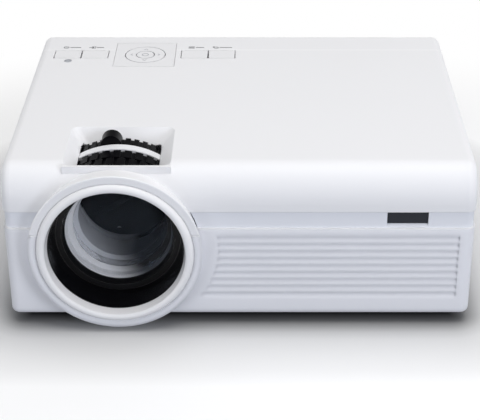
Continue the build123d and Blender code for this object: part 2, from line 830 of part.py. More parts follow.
def top_shell():
    """Upper cover: curved front edge, thumb pocket, key openings, upper half of the collar."""
    shell = (OUTER - INNER) & between(SEAM_H, BODY_H + 1)
    upper_collar = collar() & between(LEDGE_H, BODY_H + COLLAR_R)
    shell += upper_collar
    shell += pocket_void(POCKET_WALL) & OUTER
    lip = block(
        POCKET_X0, POCKET_X1, POCKET_D0 - POCKET_LIP_T, POCKET_D0 + 1, POCKET_FLOOR_H, BODY_H
    )
    shell += lip
    shell -= pocket_cut()
    shell -= collar_zone(LENS_RING_BACK_D + 0.5)
    shell -= lens_cylinder(WHEEL_R + WHEEL_ROOM, BASE_TUBE_D, POCKET_SLOT_D1)
    shell -= lens_cylinder(TUBE_R + WHEEL_ROOM, BASE_TUBE_D, PLATE_D)
    for left in KEY_LEFT_XS:
        shell -= key_hole(left)
    half = PANEL_SIZE / 2 + PANEL_GAP
    shell -= block(
        PANEL_X - half, PANEL_X + half, PANEL_D - half, PANEL_D + half, INNER_TOP_H - 1, BODY_H + 1
    )
    shell -= upright(LIGHT_R + LIGHT_FIT, LIGHT_X, LIGHT_D, INNER_TOP_H - 1, BODY_H + 1)
    for x, d in board_post_places():
        shell += upright(BOARD_POST_R, x, d, KEY_BOARD_H + BOARD_T, INNER_TOP_H + 0.5)
        shell -= upright(
            BOARD_SCREW_R, x, d, KEY_BOARD_H, KEY_BOARD_H + BOARD_SCREW_LENGTH + 0.2
        )
    for x, d in case_boss_places():
        boss = upright(CASE_BOSS_R, x, d, CASE_BOSS_SPLIT_H, INNER_TOP_H + 0.5)
        shell += boss & OUTER
        shell += boss_web(x, d, SEAM_H + TONGUE_H + 0.4, INNER_TOP_H)
        tip = CASE_BOSS_SPLIT_H - CASE_SINK_DEPTH + CASE_SHANK_LENGTH
        shell -= upright(CASE_SHANK_R + CASE_FIT, x, d, CASE_BOSS_SPLIT_H - 1, tip + 0.5)
    for slot in side_slots([TOP_GROOVE_H], LOUVRE_GROOVE):
        shell -= slot
    return shell


def waist_band():
    """Strip set back between the shells, with a tongue behind both of them."""
    face = housing_form(BAND_INSET) & between(LEDGE_H, SEAM_H)
    outer_tongue = WALL + TONGUE_GAP
    tongue = housing_form(outer_tongue) & between(LEDGE_H - TONGUE_H, SEAM_H + TONGUE_H)
    band = face + tongue - housing_form(outer_tongue + TONGUE_T)
    band -= turned(
        (0, -COLLAR_OUT - 1),
        (COLLAR_R + COLLAR_GAP, -COLLAR_OUT - 1),
        (COLLAR_R + COLLAR_GAP, -COLLAR_OUT),
        (COLLAR_BACK_R + COLLAR_GAP, COLLAR_BACK_D),
        (COLLAR_BACK_R + COLLAR_GAP, CURVE_RUN),
        (0, CURVE_RUN),
    )
    band -= lens_cylinder(WHEEL_R + 1, -COLLAR_OUT, PLATE_D)
    band -= block(
        WINDOW_X0, WINDOW_X1, -1, WALL + TONGUE_GAP + TONGUE_T + 1, WINDOW_H0, SEAM_H - 0.3
    )
    sill_face = Polyline(
        (BAND_INSET - 1, WINDOW_H0 - WINDOW_SILL - 0.4),
        (BAND_INSET - 1, WINDOW_H0 + 0.1),
        (BAND_INSET + WINDOW_SET_BACK + 0.6, WINDOW_H0 + 0.1),
        close=True,
    )
    sill = extrude(Plane.YZ * make_face(sill_face), amount=WINDOW_X1 - WINDOW_X0)
    band -= at(WINDOW_X0, 0, 0) * sill
    for x, d in case_boss_places():
        band -= upright(CASE_BOSS_R + 0.4, x, d, LEDGE_H - TONGUE_H - 1, SEAM_H + TONGUE_H + 1)
    band_side = side_slots(louvre_heights(LOUVRE_COUNT, BAND_GROOVES), LOUVRE_GROOVE + BAND_INSET)
    for slot in band_side:
        band -= slot
    return band


def rib_grooves():
    """V grooves across the lower front, ending on a circle round the lens."""
    mid_z = RIB_FIRST_H
    grooves = []
    for index in range(RIB_COUNT):
        h = mid_z + index * RIB_PITCH
        face = Polyline(
            (-1, h + RIB_WIDTH / 2 + 0.5),
            (0, h + RIB_WIDTH / 2),
            (RIB_DEPTH, h + 0.2),
            (RIB_DEPTH, h - 0.2),
            (0, h - RIB_WIDTH / 2),
            (-1, h - RIB_WIDTH / 2 - 0.5),
            close=True,
        )
        bar = extrude(Plane.YZ * make_face(face), amount=RIB_END_X - LENS_X)
        grooves.append(at(LENS_X, 0, 0) * bar)
    keep_clear = lens_cylinder(COLLAR_R + RIB_LENS_GAP, -COLLAR_OUT, COLLAR_BACK_D)
    return [groove - keep_clear for groove in grooves]


def foot_places():
    """X and D of the four rubber feet."""
    return [(side * FOOT_X, d) for side in (-1, 1) for d in (FOOT_FRONT_D, FOOT_BACK_D)]


def floor_posts(x0, x1, d0, d1):
    """Four posts under a floor board's corners."""
    xs = (x0 + FLOOR_POST_INSET, x1 - FLOOR_POST_INSET)
    ds = (d0 + FLOOR_POST_INSET, d1 - FLOOR_POST_INSET)
    return [upright(FLOOR_POST_R, x, d, WALL - 0.5, FLOOR_BOARD_H) for x in xs for d in ds]


def tongue_in():
    """How far the inside of the band's tongue stands in from the housing's side."""
    return WALL + TONGUE_GAP + TONGUE_T


def exhaust_x0():
    """X of the exhaust fan's inner face."""
    return HALF_W - tongue_in() - FAN_WALL_GAP - EXHAUST_T


def intake_x1():
    """X of the intake fan's inner face."""
    return -(HALF_W - tongue_in() - FILTER_T - 2 * FAN_WALL_GAP - INTAKE_T)


def cradles():
    """Floor ribs under the fans, the light engine, the heat sink and the speaker."""
    half_exhaust = EXHAUST_SIZE / 2
    half_intake = INTAKE_SIZE / 2
    fan_x = (exhaust_x0(), exhaust_x0() + EXHAUST_T)
    intake_x = (intake_x1() - INTAKE_T, intake_x1())
    floor = WALL - 0.5
    ribs = []
    for sign in (-1, 1):
        d = ENGINE_MID_D + sign * (half_exhaust - CRADLE_W)
        ribs.append(block(*fan_x, d - CRADLE_T, d + CRADLE_T, floor, LENS_H - half_exhaust))
        d = ENGINE_MID_D + sign * (half_intake - CRADLE_W)
        ribs.append(block(*intake_x, d - CRADLE_T, d + CRADLE_T, floor, LENS_H - half_intake))
        for x in (ENGINE_X0 + CRADLE_W, ENGINE_X1 - CRADLE_W):
            d = ENGINE_MID_D + sign * CRADLE_W * 3
            ribs.append(upright(FLOOR_POST_R, x, d, floor, ENGINE_H0))
    sink_x = ENGINE_X1 + LED_BOARD_T + SINK_BASE_T / 2
    ribs.append(
        block(
            sink_x - CRADLE_T,
            sink_x + CRADLE_T,
            ENGINE_MID_D - CRADLE_W,
            ENGINE_MID_D + CRADLE_W,
            floor,
            LENS_H - SINK_HEIGHT / 2,
        )
    )
    for d in (SPEAKER_D0 + CRADLE_T, SPEAKER_D0 + SPEAKER_LENGTH - CRADLE_T):
        ribs.append(
            block(speaker_x1() - SPEAKER_PLATE_T, speaker_x1(), d - 1, d + 1, floor, SPEAKER_H0)
        )
    return ribs


def socket_h():
    """Underside of the sockets that stand on the main board."""
    return FLOOR_BOARD_H + BOARD_T


def wall_hole(x, width, h0, tall):
    """Opening in the rear wall with clearance round a socket."""
    return block(
        x - width / 2 - SOCKET_FIT,
        x + width / 2 + SOCKET_FIT,
        BODY_D - WALL - 1,
        BODY_D + 1,
        h0 - SOCKET_FIT,
        h0 + tall + SOCKET_FIT,
    )


def lens_tunnel():
    """Shallow round bulge under the floor that makes room for the lens rings."""
    outer = RIB_RING_R + WHEEL_ROOM + TUNNEL_WALL
    bulge = lens_cylinder(outer, 1, TUNNEL_END_D + TUNNEL_WALL)
    end = bulge.edges().filter_by(GeomType.CIRCLE).sort_by(Axis.Y)[-1]
    bulge = fillet(end, TUNNEL_WALL / 2)
    return bulge & between(-FOOT_H, WALL)


def bottom_shell():
    """Lower tray: ribbed front, louvred sides, socket openings, bosses and cradles."""
    shell = (OUTER - INNER) & between(-1, LEDGE_H)
    lower_collar = collar() & between(-COLLAR_R, LEDGE_H)
    shell += lower_collar
    for x, d in case_boss_places():
        boss = upright(CASE_BOSS_R, x, d, WALL - 0.5, CASE_BOSS_SPLIT_H)
        shell += boss & OUTER
        shell += boss_web(x, d, WALL, LEDGE_H - TONGUE_H - 0.4)
    for place in (
        floor_posts(MAIN_X0, MAIN_X1, MAIN_D0, MAIN_D1)
        + floor_posts(POWER_X0, POWER_X1, POWER_D0, POWER_D1)
        + cradles()
    ):
        shell += place
    shell += upright(LEG_BOSS_R, LEG_X, LEG_D, 1, LEG_LENGTH - KNOB_TOP_GAP)
    tripod_top = TRIPOD_DEPTH + TRIPOD_BOSS_WALL / 2
    shell += upright(TRIPOD_OUT_R + TRIPOD_BOSS_WALL, TRIPOD_X, TRIPOD_D, 1, tripod_top)
    shell += lens_tunnel()
    shell -= collar_zone(CURVE_RUN)
    shell -= lens_cylinder(RIB_RING_R + WHEEL_ROOM, COLLAR_BACK_D + 2, TUNNEL_END_D)
    for groove in rib_grooves():
        shell -= groove
    for slot in side_slots(louvre_heights(0, LOUVRE_COUNT), WALL + 0.4):
        shell -= slot
    for x, d in foot_places():
        shell -= upright(FOOT_R, x, d, -1, FOOT_RECESS)
    shell -= upright(STEM_LEG_R + LEG_FIT, LEG_X, LEG_D, -1, LEG_LENGTH + 2)
    shell -= upright(TRIPOD_OUT_R, TRIPOD_X, TRIPOD_D, -1, TRIPOD_DEPTH)
    for x, d in case_boss_places():
        sink_top = CASE_BOSS_SPLIT_H - CASE_SINK_DEPTH
        shell -= upright(CASE_SINK_R, x, d, -1, sink_top)
        shell -= upright(CASE_SHANK_R + CASE_FIT, x, d, sink_top - 1, CASE_BOSS_SPLIT_H + 1)
    shell -= wall_hole(HDMI_X, HDMI_W, socket_h(), HDMI_H)
    shell -= wall_hole(USB_X, USB_W, socket_h(), USB_H)
    for x in JACK_XS:
        shell -= wall_hole(x, JACK_W, socket_h(), JACK_H)
    shell -= wall_hole(CARD_X, CARD_W, socket_h(), CARD_H)
    shell -= wall_hole(INLET_X, INLET_W, INLET_H, INLET_TALL)
    return shell


def ir_window():
    """Dark plate in the band's opening, set back a little."""
    front = BAND_INSET + WINDOW_SET_BACK
    return block(
        WINDOW_X0 + WINDOW_FIT,
        WINDOW_X1 - WINDOW_FIT,
        front,
        WALL + TONGUE_GAP + TONGUE_T,
        WINDOW_H0 + WINDOW_FIT,
        SEAM_H - 0.3 - WINDOW_FIT,
    )


def ir_receiver():
    """Receiver with a domed eye behind the window, on a card that stands on the power board."""
    x = (WINDOW_X0 + WINDOW_X1) / 2
    eye_out = 0.8
    front = tongue_in() + FAN_WALL_GAP + eye_out
    back = front + RECEIVER_D
    half = RECEIVER_W / 2
    top = SEAM_H - 0.5
    body = block(x - half, x + half, front, back, top - RECEIVER_H, top)
    eye_r = half - 0.5
    eye = at(x, front + eye_r - eye_out, top - RECEIVER_H / 2) * Sphere(eye_r)
    card = block(x - half - 2, x + half + 2, back, back + 1.2, FLOOR_BOARD_H + BOARD_T, top)
    return body + eye + card


# Keys


def stem_h():
    """Underside of a key's stem: a little over its switch, by more than its travel."""
    return KEY_BOARD_H + BOARD_T + SWITCH_T + 0.3 + KEY_TRAVEL + 0.1


def flush_key(left):
    """Flush key with a flange that holds it under the top and a stem to its switch."""
    cap = block(
        left, left + KEY_W, KEY_D0, KEY_D0 + KEY_LENGTH, INNER_TOP_H - KEY_UNDER_GAP - 0.2, BODY_H
    )
    edges = cap.edges().filter_by(Axis.Z)
    cap = fillet(edges, 0.8)
    flange_top = INNER_TOP_H - KEY_UNDER_GAP
    inner = KEY_FLANGE / 2
    flange = block(
        left + 0.15,
        left + KEY_W - 0.15,
        KEY_D0 - KEY_FLANGE,
        KEY_D0 + KEY_LENGTH + KEY_FLANGE,
        flange_top - KEY_FLANGE_T,
        flange_top,
    )
    x = left + KEY_W / 2
    d = KEY_D0 + KEY_LENGTH / 2
    stem = upright(STEM_R, x, d, stem_h(), flange_top - inner)
    return cap + flange + stem


def nav_panel():
    """Square plate round the pad, held from below by its flange."""
    half = PANEL_SIZE / 2
    plate = block(
        PANEL_X - half, PANEL_X + half, PANEL_D - half, PANEL_D + half, INNER_TOP_H - 0.5, BODY_H
    )
    wide = half + PANEL_FLANGE
    flange = block(
        PANEL_X - wide,
        PANEL_X + wide,
        PANEL_D - half,
        PANEL_D + half,
        INNER_TOP_H - PANEL_FLANGE_T,
        INNER_TOP_H,
    )
    hole = upright(NAV_R + NAV_GAP, PANEL_X, PANEL_D, INNER_TOP_H - 3, BODY_H + 1)
    return plate + flange - hole


def nav_skirt_h():
    """Top of the round pad's skirt, low enough to rock under the plate."""
    return INNER_TOP_H - PANEL_FLANGE_T - ROCK_ROOM


def nav_ring():
    """Round pad with a shallow dish and a skirt under the plate."""
    skirt_top = nav_skirt_h()
    pad = upright(NAV_R, PANEL_X, PANEL_D, skirt_top - NAV_SKIRT_T, BODY_H)
    skirt = upright(NAV_R + NAV_SKIRT, PANEL_X, PANEL_D, skirt_top - NAV_SKIRT_T, skirt_top)
    ring = pad + skirt
    ring -= upright(NAV_HOLE_R, PANEL_X, PANEL_D, skirt_top - 3, BODY_H + 1)
    under = upright(NAV_R - 1.2, PANEL_X, PANEL_D, skirt_top - NAV_SKIRT_T - 1, BODY_H - 1.6)
    core = upright(NAV_HOLE_R + 1.0, PANEL_X, PANEL_D, skirt_top - 4, BODY_H)
    return ring - (under - core)


def ok_key():
    """Centre key inside the round pad."""
    bottom = stem_h() + 0.6
    cap = upright(OK_R, PANEL_X, PANEL_D, bottom, BODY_H)
    stem = upright(STEM_R, PANEL_X, PANEL_D, stem_h(), bottom)
    return cap + stem


def nav_hub():
    """Soft ring that the round pad rocks on, round the centre key's switch."""
    top = nav_skirt_h() - NAV_SKIRT_T - 0.5
    ring = upright(HUB_OUT_R, PANEL_X, PANEL_D, top - HUB_T, top)
    return ring - upright(HUB_IN_R, PANEL_X, PANEL_D, top - HUB_T - 1, top + 1)


def key_board():
    """Board under the top that carries the switches."""
    board = block(
        KEY_BOARD_X0, KEY_BOARD_X1, KEY_BOARD_D0, KEY_BOARD_D1, KEY_BOARD_H, KEY_BOARD_H + BOARD_T
    )
    for x, d in board_post_places():
        board -= upright(BOARD_SCREW_R + 0.1, x, d, KEY_BOARD_H - 1, KEY_BOARD_H + BOARD_T + 1)
    return board


def key_switches():
    """Small switches under the keys and round the pad."""
    top = KEY_BOARD_H + BOARD_T
    half = SWITCH_W / 2
    d = KEY_D0 + KEY_LENGTH / 2
    places = [(left + KEY_W / 2, d) for left in KEY_LEFT_XS] + [(PANEL_X, PANEL_D)]
    switches = []
    for x, d in places:
        body = block(x - half, x + half, d - half, d + half, top, top + SWITCH_T)
        button = upright(SWITCH_BUTTON_R, x, d, top + SWITCH_T - 0.5, top + SWITCH_T + 0.3)
        switches.append(body + button)
    half = NAV_SWITCH_W / 2
    for dx, dd in ((1, 0), (-1, 0), (0, 1), (0, -1)):
        x = PANEL_X + dx * NAV_SWITCH_R
        d = PANEL_D + dd * NAV_SWITCH_R
        switches.append(block(x - half, x + half, d - half, d + half, top, top + NAV_SWITCH_T))
    return Compound(children=switches)


def board_screws():
    """Small screws up through the key board into its posts."""
    screws = []
    for x, d in board_post_places():
        head = upright(
            BOARD_SCREW_HEAD_R, x, d, KEY_BOARD_H - BOARD_SCREW_HEAD_T, KEY_BOARD_H
        )
        tip = KEY_BOARD_H + BOARD_SCREW_LENGTH
        shank = upright(BOARD_SCREW_R - 0.05, x, d, KEY_BOARD_H - 0.5, tip)
        screws.append(head + shank)
    return Compound(children=screws)


def status_light():
    """Light pipe from the key board up to the top."""
    return upright(LIGHT_R, LIGHT_X, LIGHT_D, KEY_BOARD_H + BOARD_T, BODY_H)


# Light engine


def slot_plate(x, thickness, height_gap):
    """Upright plate across the light channel, standing in the engine's grooves."""
    half = (ENGINE_D1 - ENGINE_D0) / 2 - ENGINE_WALL + SLOT_DEPTH - SLOT_FIT
    middle = (ENGINE_D0 + ENGINE_D1) / 2
    return block(
        x, x + thickness, middle - half, middle + half, ENGINE_H0 + ENGINE_WALL, ENGINE_H1 - height_gap
    )


def mirror_place():
    """Middle of the mirror's face, with its local X along the tilt axis."""
    return at(LENS_X, MIRROR_D, LENS_H) * Rot(0, 0, 45)


def pivot_reach():
    """Distance from the mirror's middle to the outer end of each pivot pin."""
    return MIRROR_LENGTH / 2 + MIRROR_FRAME_RIM + PIVOT_LENGTH


def engine_housing():
    """Box round the mirror with a channel to the lamp, grooves for the plates and pivot posts."""
    wall = ENGINE_WALL
    box = block(ENGINE_X0, ENGINE_X1, ENGINE_D0, ENGINE_D1, ENGINE_H0, ENGINE_H1)
    hollow = block(
        ENGINE_X0 + wall, ENGINE_X1 + 1, ENGINE_D0 + wall, ENGINE_D1 - wall, ENGINE_H0 + wall, ENGINE_H1 + 1
    )
    box -= hollow
    post_reach = pivot_reach() + PIVOT_END_GAP
    for side in (-1, 1):
        post = mirror_place() * Pos(side * post_reach, 0, 0) * Rot(0, 0, -45)
        low = ENGINE_H0 + wall - LENS_H - 0.5
        high = PIVOT_POST_R + 1
        box += post * Pos(0, 0, (low + high) / 2) * Cylinder(PIVOT_POST_R, high - low)
    box &= block(ENGINE_X0, ENGINE_X1, ENGINE_D0, ENGINE_D1, ENGINE_H0, ENGINE_H1)
    hole_reach = post_reach + 0.2
    hole = Rot(0, 90, 0) * Cylinder(PIVOT_R + PIVOT_FIT, 2 * hole_reach)
    box -= mirror_place() * hole
    partition = block(
        CONDENSER_X,
        CONDENSER_X + CONDENSER_WALL,
        ENGINE_D0 + wall / 2,
        ENGINE_D1 - wall / 2,
        ENGINE_H0 + wall / 2,
        ENGINE_H1,
    )
    box += partition - along_x(
        CONDENSER_R + GLASS_FIT, CONDENSER_X - 1, CONDENSER_X + CONDENSER_WALL + 1, ENGINE_MID_D, LENS_H
    )
    groove_half = (ENGINE_D1 - ENGINE_D0) / 2 - wall + SLOT_DEPTH
    for x, thickness in (
        (FIELD_LENS_X, PLATE_LENS_T),
        (LCD_X, LCD_T),
        (COLLIMATOR_X, PLATE_LENS_T),
    ):
        box -= block(
            x - SLOT_FIT,
            x + thickness + SLOT_FIT,
            ENGINE_MID_D - groove_half,
            ENGINE_MID_D + groove_half,
            ENGINE_H0 + wall,
            ENGINE_H1 + 1,
        )
    box -= lens_cylinder(ENGINE_LENS_R, ENGINE_D0 - 1, ENGINE_D0 + wall + 0.5)
    return box


def engine_cover():
    """Flat lid of the light engine with a locating rim."""
    lid = block(ENGINE_X0, ENGINE_X1, ENGINE_D0, ENGINE_D1, ENGINE_H1, ENGINE_H1 + COVER_T)
    inset = ENGINE_WALL + 0.2
    rim = block(
        ENGINE_X0 + inset, FIELD_LENS_X - 2, ENGINE_D0 + inset, ENGINE_D1 - inset, ENGINE_H1 - 1.5, ENGINE_H1
    )
    inner = block(
        ENGINE_X0 + inset + 1.5,
        FIELD_LENS_X - 3.5,
        ENGINE_D0 + inset + 1.5,
        ENGINE_D1 - inset - 1.5,
        ENGINE_H1 - 2,
        ENGINE_H1,
    )
    return lid + (rim - inner)


def mirror_frame():
    """Tilting tray behind the mirror with a pin at each end."""
    rim = MIRROR_FRAME_RIM
    length = MIRROR_LENGTH + 2 * rim
    height = MIRROR_HEIGHT + 2 * rim
    tray = Pos(0, MIRROR_FRAME_T / 2, 0) * Box(length, MIRROR_FRAME_T, height)
    tray += Pos(0, -MIRROR_T / 2, 0) * Box(length, MIRROR_T, height)
    tray -= Pos(0, -MIRROR_T / 2, 0) * Box(MIRROR_LENGTH, MIRROR_T, MIRROR_HEIGHT)
    pin_length = pivot_reach() - length / 2 + 2
    for side in (-1, 1):
        pin = Pos(side * (pivot_reach() - pin_length / 2), 0, 0) * Rot(0, 90, 0)
        tray += pin * Cylinder(PIVOT_R, pin_length)
    tray -= Pos(0, -MIRROR_T / 2, 0) * Box(MIRROR_LENGTH, MIRROR_T, MIRROR_HEIGHT)
    return mirror_place() * tray


def fold_mirror():
    """Front-silvered mirror in the tilting frame."""
    fit = 0.1
    plate = Box(MIRROR_LENGTH - fit, MIRROR_T, MIRROR_HEIGHT - fit)
    return mirror_place() * Pos(0, -MIRROR_T / 2, 0) * plate


def fresnel_lenses():
    """Two flat plate lenses, one each side of the LCD panel."""
    plates = [slot_plate(x, PLATE_LENS_T, 1.8) for x in (FIELD_LENS_X, COLLIMATOR_X)]
    return Compound(children=plates)


def lcd_panel():
    """LCD panel across the light channel."""
    return slot_plate(LCD_X, LCD_T, 1.8)


def condenser_lens():
    """Thick lens in the engine's partition, bulging towards the panel."""
    lens = glass(CONDENSER_R, CONDENSER_EDGE, CONDENSER_SAG, 0.4, 1.0)
    return at(CONDENSER_X + 0.5, ENGINE_MID_D, LENS_H) * Rot(0, 0, -90) * lens


def led_board():
    """Metal-backed lamp board that closes the engine's right end, with its emitter."""
    edge = ENGINE_WALL / 2
    board = block(
        ENGINE_X1,
        ENGINE_X1 + LED_BOARD_T,
        ENGINE_D0 + edge,
        ENGINE_D1 - edge,
        ENGINE_H0 + edge,
        ENGINE_H1 - edge,
    )
    half = LED_W / 2
    emitter = block(
        ENGINE_X1 - LED_T,
        ENGINE_X1,
        ENGINE_MID_D - half,
        ENGINE_MID_D + half,
        LENS_H - half,
        LENS_H + half,
    )
    return board + emitter


def heat_sink():
    """Finned block on the lamp board, fins along the air stream."""
    x0 = ENGINE_X1 + LED_BOARD_T
    half_d = SINK_WIDTH / 2
    low = LENS_H - SINK_HEIGHT / 2
    sink = block(
        x0, x0 + SINK_BASE_T, ENGINE_MID_D - half_d, ENGINE_MID_D + half_d, low, low + SINK_HEIGHT
    )
    pitch = (SINK_HEIGHT - FIN_T) / (FIN_COUNT - 1)
    for index in range(FIN_COUNT):
        h = low + index * pitch
        sink += block(
            x0, exhaust_x0() - SINK_FAN_GAP, ENGINE_MID_D - half_d, ENGINE_MID_D + half_d, h, h + FIN_T
        )
    return sink


# Fans


def fan_frame(size, thickness, bore_r, hub_r):
    """Square fan frame along Z with a motor hub on three spokes at its low face."""
    frame = extrude(RectangleRounded(size, size, FAN_CORNER_R), amount=thickness)
    frame -= extrude(Circle(bore_r), amount=thickness)
    for sx in (-1, 1):
        for sy in (-1, 1):
            place = Pos(sx * (size / 2 - 5), sy * (size / 2 - 5), thickness / 2)
            frame -= place * Cylinder(2.1, thickness + 2)
    plate = extrude(Circle(hub_r), amount=FAN_PLATE_T)
    for index in range(3):
        spoke = Pos((hub_r + bore_r) / 2, 0, FAN_PLATE_T / 2) * Box(
            bore_r - hub_r + 1.4, FAN_SPOKE_W, FAN_PLATE_T
        )
        plate += Rot(0, 0, 30 + index * 120) * spoke
    motor_r = hub_r - FAN_CUP_WALL - FAN_CUP_GAP
    motor_top = thickness - FAN_CUP_WALL - 2 * FAN_CUP_GAP
    plate += extrude(Circle(motor_r), amount=motor_top)
    plate -= Pos(0, 0, motor_top / 2 + 0.6) * Cylinder(FAN_SHAFT_R + FAN_SHAFT_FIT, motor_top)
    return frame + plate


def fan_rotor(thickness, bore_r, hub_r, blades):
    """Rotor cup with pitched blades and the shaft that runs in the frame's hub."""
    low = FAN_PLATE_T + FAN_CUP_GAP
    top = thickness - FAN_CUP_GAP
    cup = Pos(0, 0, low) * extrude(Circle(hub_r), amount=top - low)
    hollow_r = hub_r - FAN_CUP_WALL
    cup -= Pos(0, 0, low) * extrude(Circle(hollow_r), amount=top - low - FAN_CUP_WALL)
    shaft_low = 1.6
    shaft_length = top - FAN_CUP_WALL / 2 - shaft_low
    cup += Pos(0, 0, shaft_low) * extrude(Circle(FAN_SHAFT_R), amount=shaft_length)
    tip_r = bore_r - FAN_TIP_GAP
    reach = tip_r - hub_r + 1.2
    height = top - low - 0.4
    chord = (height - BLADE_T) / math.sin(math.radians(BLADE_DEG)) * 0.92
    blade = Rot(BLADE_DEG, 0, 0) * Box(reach, chord, BLADE_T)
    ring = Pos(0, 0, (low + top) / 2) * (
        Cylinder(tip_r, height) - Cylinder(hub_r - 0.4, height)
    )
    place = Pos(hub_r - 0.6 + reach / 2, 0, (low + top) / 2)
    blade = place * blade & ring
    for index in range(blades):
        cup += Rot(0, 0, index * 360 / blades) * blade
    return cup


def exhaust_place():
    """Frame of the exhaust fan: its low face inwards, its axis along +X."""
    return at(exhaust_x0(), ENGINE_MID_D, LENS_H) * Rot(0, 90, 0)


def intake_place():
    """Frame of the intake fan: its low face inwards, its axis along -X."""
    return at(intake_x1(), ENGINE_MID_D, LENS_H) * Rot(0, -90, 0)


def dust_filter():
    """Foam pad between the left louvres and the intake fan."""
    half = INTAKE_SIZE / 2
    x0 = -(HALF_W - tongue_in() - FAN_WALL_GAP)
    return block(
        x0, x0 + FILTER_T, ENGINE_MID_D - half, ENGINE_MID_D + half, LENS_H - half, LENS_H + half
    )


# Boards and sockets


def floor_board(x0, x1, d0, d1):
    """Plain board on the floor posts."""
    return block(x0, x1, d0, d1, FLOOR_BOARD_H, FLOOR_BOARD_H + BOARD_T)


def main_board():
    """Board behind the light engine that carries the sockets, with its main chip."""
    board = floor_board(MAIN_X0, MAIN_X1, MAIN_D0, MAIN_D1)
    x = (MAIN_X0 + MAIN_X1) / 2
    top = FLOOR_BOARD_H + BOARD_T
    chip = block(
        x - CHIP_W / 2, x + CHIP_W / 2, MAIN_D0 + 1, MAIN_D0 + 1 + CHIP_W, top - 0.2, top + CHIP_T
    )
    return board + chip


def power_board():
    """Power supply board with its transformer and two capacitors."""
    board = floor_board(POWER_X0, POWER_X1, POWER_D0, POWER_D1)
    top = FLOOR_BOARD_H + BOARD_T
    width, length, height = TRANSFORMER
    x = (POWER_X0 + POWER_X1) / 2
    d = (POWER_D0 + POWER_D1) / 2
    board += block(
        x - width / 2, x + width / 2, d - length / 2, d + length / 2, top - 0.2, top + height
    )
    for side in (-1, 1):
        capacitor_x = x + side * (width / 2 + CAPACITOR_R + 6)
        board += upright(CAPACITOR_R, capacitor_x, d, top - 0.2, top + CAPACITOR_H)
    return board


def mouth_d():
    """D of the sockets' mouths, just inside the rear face."""
    return BODY_D - SOCKET_BACK


def socket_shell(x, width, tall, depth, h0):
    """Folded metal box with an open mouth at the rear."""
    back = mouth_d()
    outer = block(x - width / 2, x + width / 2, back - depth, back, h0, h0 + tall)
    inner = block(
        x - width / 2 + SHEET_T,
        x + width / 2 - SHEET_T,
        back - depth + 1.5,
        back + 1,
        h0 + SHEET_T,
        h0 + tall - SHEET_T,
    )
    return outer - inner


def hdmi_socket():
    """Wide socket with sloped lower corners and a thin tongue."""
    shell = socket_shell(HDMI_X, HDMI_W, HDMI_H, HDMI_D, socket_h())
    back = mouth_d()
    middle = socket_h() + HDMI_H / 2
    tongue = block(
        HDMI_X - 5.2, HDMI_X + 5.2, back - HDMI_D + 1, back - 2.5, middle - 0.1, middle + 1.0
    )
    return shell + tongue


def usb_socket():
    """Wide socket with its tongue along the upper side."""
    shell = socket_shell(USB_X, USB_W, USB_H, USB_D, socket_h())
    back = mouth_d()
    top = socket_h() + USB_H - SHEET_T
    tongue = block(USB_X - 5.6, USB_X + 5.6, back - USB_D + 1, back - 1, top - 2.2, top - 0.5)
    return shell + tongue


def round_jacks():
    """Two round jacks, each a block with a bored nose."""
    jacks = []
    back = mouth_d()
    h = socket_h() + JACK_H / 2
    for x in JACK_XS:
        body = block(
            x - JACK_W / 2, x + JACK_W / 2, back - JACK_D, back, socket_h(), socket_h() + JACK_H
        )
        bore = at(x, back - JACK_BORE_LENGTH / 2, h) * Rot(90, 0, 0)
        body -= bore * Cylinder(JACK_BORE_R, JACK_BORE_LENGTH)
        jacks.append(body)
    return Compound(children=jacks)


def card_socket():
    """Flat card slot."""
    return socket_shell(CARD_X, CARD_W, CARD_H, CARD_D, socket_h())


def power_inlet():
    """Two-pin inlet with a figure-of-eight mouth, clipped in the rear wall."""
    back = mouth_d()
    body = block(
        INLET_X - INLET_W / 2,
        INLET_X + INLET_W / 2,
        back - INLET_D,
        back,
        INLET_H,
        INLET_H + INLET_TALL,
    )
    inside = BODY_D - WALL - 0.1
    body += block(
        INLET_X - INLET_W / 2 - INLET_FLANGE,
        INLET_X + INLET_W / 2 + INLET_FLANGE,
        inside - INLET_FLANGE_T,
        inside,
        INLET_H - INLET_FLANGE,
        INLET_H + INLET_TALL + INLET_FLANGE,
    )
    middle = at(INLET_X, back + 0.5, INLET_H + INLET_TALL / 2)
    mouth = Plane.XZ * (
        RectangleRounded(INLET_MOUTH_W, INLET_MOUTH_H, INLET_MOUTH_H / 2 - 0.1)
    )
    body -= middle * extrude(mouth, amount=INLET_DEPTH + 0.5)
    for side in (-1, 1):
        pin = at(
            INLET_X + side * INLET_PIN_X,
            back - INLET_DEPTH - 1 + (INLET_PIN_LENGTH + 1) / 2,
            INLET_H + INLET_TALL / 2,
        )
        body += pin * Rot(90, 0, 0) * Cylinder(INLET_PIN_R, INLET_PIN_LENGTH + 1)
    return body


def speaker_place(x):
    """Location on the speaker's axis at an X, with local Z outwards to the right."""
    d = SPEAKER_D0 + SPEAKER_LENGTH / 2
    return at(x, d, SPEAKER_H0 + SPEAKER_TALL / 2) * Rot(0, 90, 0)


def speaker_x1():
    """X of the speaker's front face."""
    return HALF_W - tongue_in() - FAN_WALL_GAP


